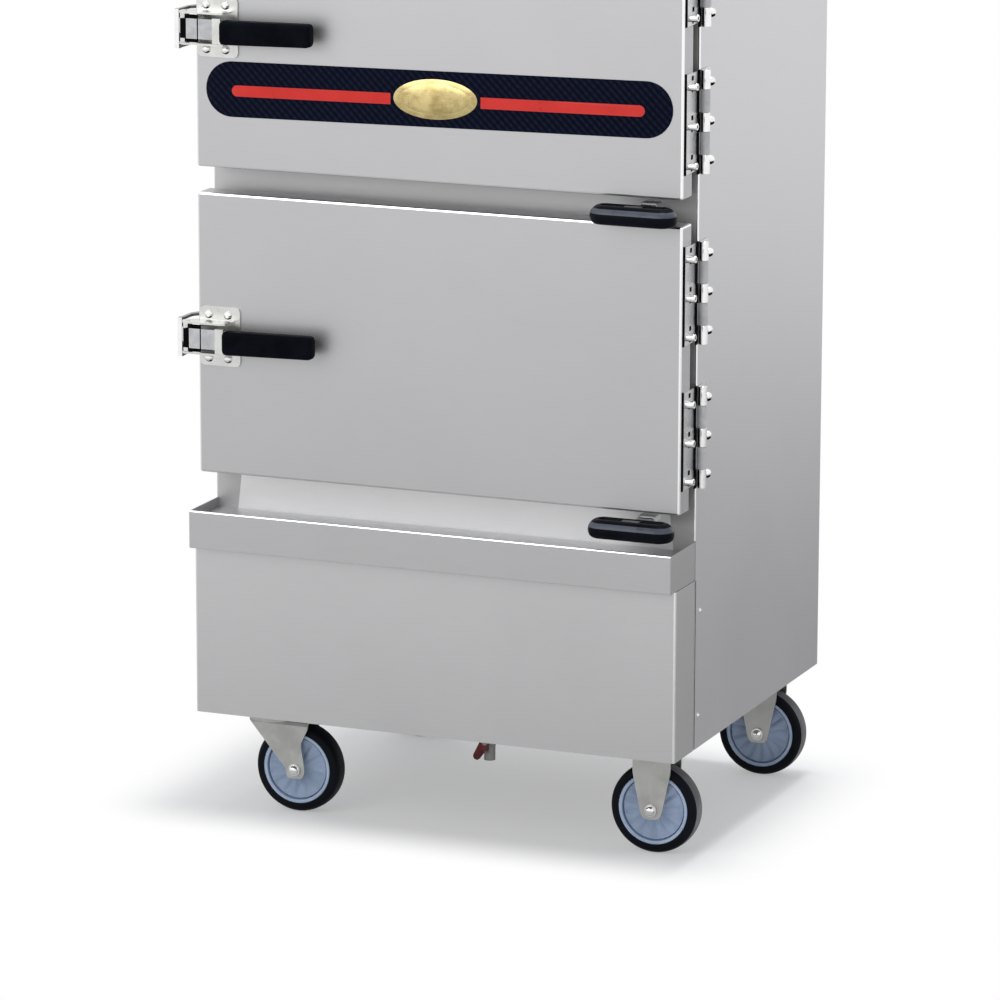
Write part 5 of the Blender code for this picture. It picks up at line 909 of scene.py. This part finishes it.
# %% [markdown]
# ## Axle nuts
# Each axle ends in a domed cap nut on a thin washer. The solids have plain round
# ends, so a finer axle takes the place of each one.

# %% Axles with cap nuts
AXLE_END = ((0.0, 0.0312), (0.0026, 0.0310), (0.0048, 0.0300), (0.0062, 0.0284), (0.0068, 0.0264),
            (0.0068, 0.0256), (0.0086, 0.0254), (0.0088, 0.0250), (0.0088, 0.0237), (0.0058, 0.0237))
for corner, (x, y) in WHEELS.items():
    shape = bmesh.new()
    turn_profile(shape, mirrored(AXLE_END), at(x, y, WHEEL_Z), TO_FRONT)
    carrier = corner + "_fork" if corner.endswith("left") else "cabinet"
    axle = new_piece(corner + "_axle_with_nuts", shape, [BOLT], carrier)
    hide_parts(corner + "_caster_axle")
print("axles:", len(WHEELS))

# %% [markdown]
# ## Hinges
# Each hinge is a round barrel of five knuckles. Three short ones belong to the leaf
# on the side panel and two long ones to the leaf on the door. Three long cap bolts,
# each between two slots, hold the door leaf, and three domed ones the other. Black
# strips of painted shade run down both sides of the door leaf and beside the panel's
# knuckles, and the bolts' lower faces are painted dark for shade.

# %% Boxes and knuckles
KNUCKLE_ENDS = (0.0, 0.026, 0.056, 0.082, 0.112, 0.138)
PANEL_KNUCKLES = (0, 2, 4)
DOOR_KNUCKLES = (1, 3)
BARREL_RADIUS = 0.006
BARREL_SOFTNESS = 0.0006
BARREL_GAP = 0.0001
BARREL_X = 0.3565
BARREL_Y = 0.003


def brick(shape, x, y, z):
    """A plain box between two places on the drawing."""
    corners = [shape.verts.new(at(a, b, c)) for a in sorted(x) for b in sorted(y) for c in sorted(z)]
    for face in ((0, 1, 3, 2), (4, 6, 7, 5), (0, 4, 5, 1), (2, 3, 7, 6), (0, 2, 6, 4), (1, 5, 7, 3)):
        shape.faces.new([corners[index] for index in face])


def brick_piece(name, bricks, finish, body):
    """A piece made of plain boxes only."""
    shape = bmesh.new()
    for x, y, z in bricks:
        brick(shape, x, y, z)
    return new_piece(name, shape, [finish], body)


def knuckle_bricks(shape, low, knuckles, x, y, space):
    """A box beside each of these knuckles of a hinge, a little shorter than the knuckle."""
    for index in knuckles:
        brick(shape, x, y, (low + KNUCKLE_ENDS[index] + space, low + KNUCKLE_ENDS[index + 1] - space))


def barrel(shape, low, knuckles):
    """These knuckles of a hinge, smooth and round with softened ends."""
    inner = BARREL_RADIUS - BARREL_SOFTNESS
    for index in knuckles:
        start = low + KNUCKLE_ENDS[index]
        stop = low + KNUCKLE_ENDS[index + 1]
        profile = ((0.0, start + BARREL_GAP), (inner, start + BARREL_GAP),
                   (BARREL_RADIUS, start + BARREL_SOFTNESS), (BARREL_RADIUS, stop - BARREL_SOFTNESS),
                   (inner, stop - BARREL_GAP), (0.0, stop - BARREL_GAP))
        turn_profile(shape, profile, at(BARREL_X, BARREL_Y, 0), Vector((0, 0, 1)))


def paint_shade_below(piece, slope):
    """Paint shade on the faces that look down, by giving them the second finish of the piece."""
    second_finish(piece.data, lambda face: face.normal.z < slope)


print("hinge helpers ready")

# %% Hinges
BOLT_ZS = (0.017, 0.069, 0.121)
LONG_BOLT = ((0.0, 0.0098), (0.0021, 0.0100), (0.0023, 0.0124), (0.0040, 0.0125), (0.0049, 0.0119),
             (0.0052, 0.0108), (0.0052, 0.0))
SOCKET = ((0.0, 0.0101), (0.0022, 0.0101), (0.0022, 0.0099), (0.0, 0.0099))
DOMED_BOLT = ((0.0, 0.0114), (0.0026, 0.0110), (0.0046, 0.0098), (0.0060, 0.0076), (0.0065, 0.0052),
              (0.0065, 0.0044), (0.0046, 0.0040), (0.0046, 0.0))
LONG_BOLT_FOOT = (0.3493, -0.041)
DOMED_BOLT_FOOT = (0.3523, 0.018)
PANEL_LEAF_X = (0.3503, 0.3523)
PANEL_LEAF_Y = (0.0098, 0.030)
PANEL_TAB_Y = (0.0032, 0.0112)
DOOR_LEAF_X = (0.3473, 0.3493)
DOOR_LEAF_Y = (-0.0478, -0.0102)
DOOR_LEAF_FOOT = 0.0060
DOOR_LEAF_HEAD = 0.1370
DOOR_TAB_X = (0.3490, 0.3506)
DOOR_TAB_Y = (-0.0046, 0.0006)
# The dark tabs, the dark line and the strips beside the panel's knuckles are painted shade.
DARK_TAB_Y = (-0.0103, -0.0045)
DARK_LINE_X = (0.3472, 0.3489)
DARK_LINE_Y = (-0.0508, -0.0478)
DARK_LINE_FOOT = 0.0050
SHADE_STRIP_X = (0.3486, 0.3499)
SHADE_STRIP_Y = (-0.0074, -0.0004)
SLOT_X = (0.3492, 0.3495)
SLOTS = (((-0.0310, -0.0240), 0.0062, 0.0124), ((-0.0310, -0.0262), -0.0092, -0.0050))
HINGE_LOWS = {
    "lower_bottom_hinge": LOWER_DOOR_LOW + 0.027,
    "lower_top_hinge": LOWER_DOOR_LOW + 0.221,
    "upper_bottom_hinge": UPPER_DOOR_LOW + 0.027,
    "upper_top_hinge": UPPER_DOOR_LOW + 0.221,
}
TO_RIGHT = Vector((1, 0, 0))

for hinge, low in HINGE_LOWS.items():
    door = hinge.split("_")[0] + "_door"
    high = low + KNUCKLE_ENDS[-1]

    shape = bmesh.new()
    knuckle_bricks(shape, low, PANEL_KNUCKLES, PANEL_LEAF_X, PANEL_TAB_Y, space=0.0003)
    brick(shape, PANEL_LEAF_X, PANEL_LEAF_Y, (low, high))
    leaf = new_piece(hinge + "_panel_leaf", shape, [HINGE], "cabinet")
    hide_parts(hinge + "_fixed_leaf")

    bricks = [(DOOR_LEAF_X, DOOR_LEAF_Y, (low + DOOR_LEAF_FOOT, low + DOOR_LEAF_HEAD))]
    leaf = brick_piece(hinge + "_edge_leaf", bricks, HINGE, door)
    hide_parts(hinge + "_door_leaf")

    shape = bmesh.new()
    barrel(shape, low, PANEL_KNUCKLES)
    new_piece(hinge + "_panel_knuckles", shape, [BOLT], "cabinet")

    shape = bmesh.new()
    barrel(shape, low, DOOR_KNUCKLES)
    knuckle_bricks(shape, low, DOOR_KNUCKLES, DOOR_TAB_X, DOOR_TAB_Y, space=0.0005)
    new_piece(hinge + "_edge_knuckles", shape, [KNUCKLE_GREY], door)

    # Painted shade beside the door leaf, with the slots and the bolt sockets.
    shape = bmesh.new()
    knuckle_bricks(shape, low, DOOR_KNUCKLES, DOOR_TAB_X, DARK_TAB_Y, space=0.0006)
    brick(shape, DARK_LINE_X, DARK_LINE_Y, (low + DARK_LINE_FOOT, high))
    for rise in BOLT_ZS:
        for y, from_z, to_z in SLOTS:
            brick(shape, SLOT_X, y, (low + rise + from_z, low + rise + to_z))
        turn_profile(shape, SOCKET, at(*LONG_BOLT_FOOT, low + rise), TO_RIGHT, steps=6)
    new_piece(hinge + "_dark_slots", shape, [GAP], door)

    # Painted shade beside the panel's knuckles.
    shape = bmesh.new()
    knuckle_bricks(shape, low, PANEL_KNUCKLES, SHADE_STRIP_X, SHADE_STRIP_Y, space=0.0)
    new_piece(hinge + "_dark_packing", shape, [GAP], "cabinet")

    # The lower faces of the bolts are painted dark for shade.
    for name, profile, foot, body, slope in (("_long_bolts", LONG_BOLT, LONG_BOLT_FOOT, door, -0.72),
                                             ("_domed_bolts", DOMED_BOLT, DOMED_BOLT_FOOT, "cabinet", -0.20)):
        shape = bmesh.new()
        for rise in BOLT_ZS:
            turn_profile(shape, profile, at(*foot, low + rise), TO_RIGHT, steps=28)
        paint_shade_below(new_piece(hinge + name, shape, [BOLT, GAP], body), slope)
print("hinges:", len(HINGE_LOWS))

# %% [markdown]
# ## Latches
# Four domed bolts hold each bracket, their lower faces painted dark for shade. The
# lever's cover is two plates with a dark seam between them, and a collar ends it. A
# dark block of painted shade sits at the cover's left end, and a dark band lies behind
# the first cover. The rubber grip is a soft bar that droops a little towards the bracket.

# %% Latch bolts, seams and grips
LATCH_RISE = 0.1905
DOME = ((0.0, 0.0048), (0.0022, 0.0046), (0.0042, 0.0036), (0.0056, 0.0019), (0.0062, 0.0), (0.0, 0.0))
DOME_XS = (-0.333, -0.3048)
DOME_Y = -0.0577
DOME_RISE = 0.030
DOME_SLOPE = -0.45
COVERS = (((-0.3508, -0.3350), (-0.0836, -0.0824), (-0.0138, 0.0132)),
          ((-0.3330, -0.3120), (-0.0836, -0.0824), (-0.0138, 0.0132)))
# The seam between the covers, a dark block of painted shade at the left end, and a dark band behind the first
# cover.
SEAMS = (((-0.3352, -0.3328), (-0.0834, -0.0825), (-0.0136, 0.0130)),
         ((-0.3596, -0.3506), (-0.0834, -0.0825), (-0.0136, 0.0130)),
         ((-0.3535, -0.3340), (-0.0822, -0.0816), (-0.0187, 0.0187)))
COLLARS = (((-0.3120, -0.3000), (-0.0850, -0.0770), (-0.0190, 0.0150)),)
GRIP_LEFT = -0.3012
GRIP_LENGTH = 0.1322
GRIP_Y = -0.080
GRIP_HALF_DEPTH = 0.0098
GRIP_HALF_HEIGHTS = (0.0163, 0.0157)
GRIP_DROPS = (-0.0034, -0.0010)
GRIP_CORNER = 0.0052
CORNER_STEPS = 6
GRIP_STATIONS = ((0.0, 0.0045), (0.0008, 0.0022), (0.0030, 0.0006), (0.0070, 0.0), (0.030, 0.0), (0.060, 0.0),
                 (0.095, 0.0), (0.1262, 0.0), (0.1298, 0.0008), (0.1318, 0.0026), (GRIP_LENGTH, 0.0048))


def soft_bar(shape, middle_z):
    """A bar with rounded edges and ends, made of rounded rectangles from left to right."""
    rings = []
    for along, inset in GRIP_STATIONS:
        share = along / GRIP_LENGTH
        half_z = GRIP_HALF_HEIGHTS[0] * (1 - share) + GRIP_HALF_HEIGHTS[1] * share - inset
        half_y = GRIP_HALF_DEPTH - inset
        corner = min(GRIP_CORNER, half_y)
        drop = GRIP_DROPS[0] * (1 - share) + GRIP_DROPS[1] * share
        ring = []
        for quarter, (side_y, side_z) in enumerate(((1, 1), (-1, 1), (-1, -1), (1, -1))):
            for angle in arc(90 * quarter, 90, CORNER_STEPS):
                y = side_y * (half_y - corner) + corner * cos(angle)
                z = side_z * (half_z - corner) + corner * sin(angle)
                ring.append(shape.verts.new(at(GRIP_LEFT + along, GRIP_Y + y, middle_z + drop + z)))
        rings.append(ring)
    bridge(shape, rings, caps=True)


for door, low in (("lower", LOWER_DOOR_LOW), ("upper", UPPER_DOOR_LOW)):
    middle = low + LATCH_RISE
    latch = door + "_latch"
    shape = bmesh.new()
    for x in DOME_XS:
        for side in (-1, 1):
            turn_profile(shape, DOME, at(x, DOME_Y, middle + side * DOME_RISE), TO_FRONT, steps=28)
    domes = new_piece(latch + "_domes", shape, [BOLT, GAP], door + "_door")
    # Painted shade on the lower faces of the domes.
    paint_shade_below(domes, DOME_SLOPE)

    for name, boxes, finish, slot in (("_lever_cover", COVERS, KNUCKLE_GREY, "latch_lever_steel"),
                                      ("_lever_seam_and_shade", SEAMS, GAP, "latch_grip_rubber"),
                                      ("_grip_collar", COLLARS, LATCH, "latch_lever_steel")):
        bricks = [(x, y, (middle + z[0], middle + z[1])) for x, y, z in boxes]
        brick_piece(door + name, bricks, finish, latch)

    shape = bmesh.new()
    soft_bar(shape, middle)
    grip = new_piece(door + "_soft_grip", shape, [GRIP], latch, sharp=50)
    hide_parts(latch + "_grip")
print("latches: 2")

# %% [markdown]
# ## Painted edge highlights
# A painted highlight runs as a fine bright line down the front edge of the right side
# panel beside the doors, and a second one down its lower front corner next to the joint.

# %% Edge highlights
EDGE_X = 0.3483
EDGE_FOOT = 0.446
EDGE_TOP = 1.338
EDGE_RADIUS = 0.0017
LOWER_EDGE_X = (0.3499, 0.3503)
LOWER_EDGE_Y = (0.0016, 0.0034)
LOWER_EDGE_Z = (0.1600, 0.3915)
JOINT_X = (0.3499, 0.3502)
JOINT_Y = (0.0002, 0.0015)

shape = bmesh.new()
low = EDGE_FOOT
for hinge_low in [*HINGE_LOWS.values(), EDGE_TOP]:
    rod = ((0.0, low), (EDGE_RADIUS, low), (EDGE_RADIUS, hinge_low), (0.0, hinge_low))
    turn_profile(shape, rod, at(EDGE_X, 0, 0), Vector((0, 0, 1)), steps=16)
    low = hinge_low + KNUCKLE_ENDS[-1]
brick(shape, LOWER_EDGE_X, LOWER_EDGE_Y, LOWER_EDGE_Z)
new_piece("panel_edge_lines", shape, [FOLD_HIGHLIGHT], "cabinet")

brick_piece("panel_joint_line", [(JOINT_X, JOINT_Y, LOWER_EDGE_Z)], GAP, "cabinet")
print("edge lines ready")

# %% [markdown]
# ## Damper grips
# The two steam dampers end in black capsule grips. Their sides bulge, the front
# shoulder wears a blue grey painted highlight, and a steel tongue sits inside the top of each capsule.

# %% Capsule grips
CAPSULE_X = 0.286
CAPSULE_Y = -0.0735
CAPSULE_ZS = {"upper": 0.8915, "lower": 0.4712}
HALF_LENGTH = 0.060
HALF_DEPTH = 0.0213
BULGE = ((-0.0130, 0.0085), (-0.0122, 0.0050), (-0.0100, 0.0022), (-0.0065, 0.0006), (-0.0020, 0.0),
         (0.0020, 0.0006), (0.0055, 0.0022), (0.0085, 0.0048), (0.0108, 0.0080), (0.0120, 0.0108),
         (0.0122, 0.0132), (0.0116, 0.0142), (0.0040, 0.0146))
SHOULDER_TOP = 0.0112
SHOULDER_TURNS = (0.16, 0.80)
TONGUE_X = (CAPSULE_X - 0.013, CAPSULE_X + 0.011)
TONGUE_Y = (-0.0800, -0.0670)
TONGUE_RISES = (0.0030, 0.0112)


def is_sheen_face(face, z):
    """Whether a face lies on the shoulder of the capsule at this height, where the painted sheen goes."""
    return SHOULDER_TURNS[0] < face.normal.z < SHOULDER_TURNS[1] and face.center.z < z + SHOULDER_TOP


def stadium(inset, z, steps=14):
    """The outline of the capsule seen from above, drawn in by this much."""
    radius = HALF_DEPTH - inset
    straight = HALF_LENGTH - HALF_DEPTH
    return [at(CAPSULE_X + side * straight + radius * cos(angle), CAPSULE_Y + radius * sin(angle), z)
            for side, start in ((1, -90), (-1, 90)) for angle in arc(start, 180, steps)]


for door, z in CAPSULE_ZS.items():
    damper = door + "_damper"
    shape = bmesh.new()
    rings = [[shape.verts.new(point) for point in stadium(inset, z + rise)] for rise, inset in BULGE]
    bridge(shape, rings, caps=True)
    capsule = new_piece(damper + "_capsule", shape, [DAMPER, SHOULDER_SHEEN], damper,
                        sharp=60)
    second_finish(capsule.data, lambda face: is_sheen_face(face, z))
    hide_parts(damper + "_grip")

    bricks = [(TONGUE_X, TONGUE_Y, (z + TONGUE_RISES[0], z + TONGUE_RISES[1]))]
    brick_piece(damper + "_tongue", bricks, VALVE, damper)
print("damper grips: 2")

# %% [markdown]
# ## Last lines
# The scene is judged at the sensor's plain values, so the view stays Standard.

# %% The view transform
bpy.context.scene.view_settings.view_transform = "Standard"
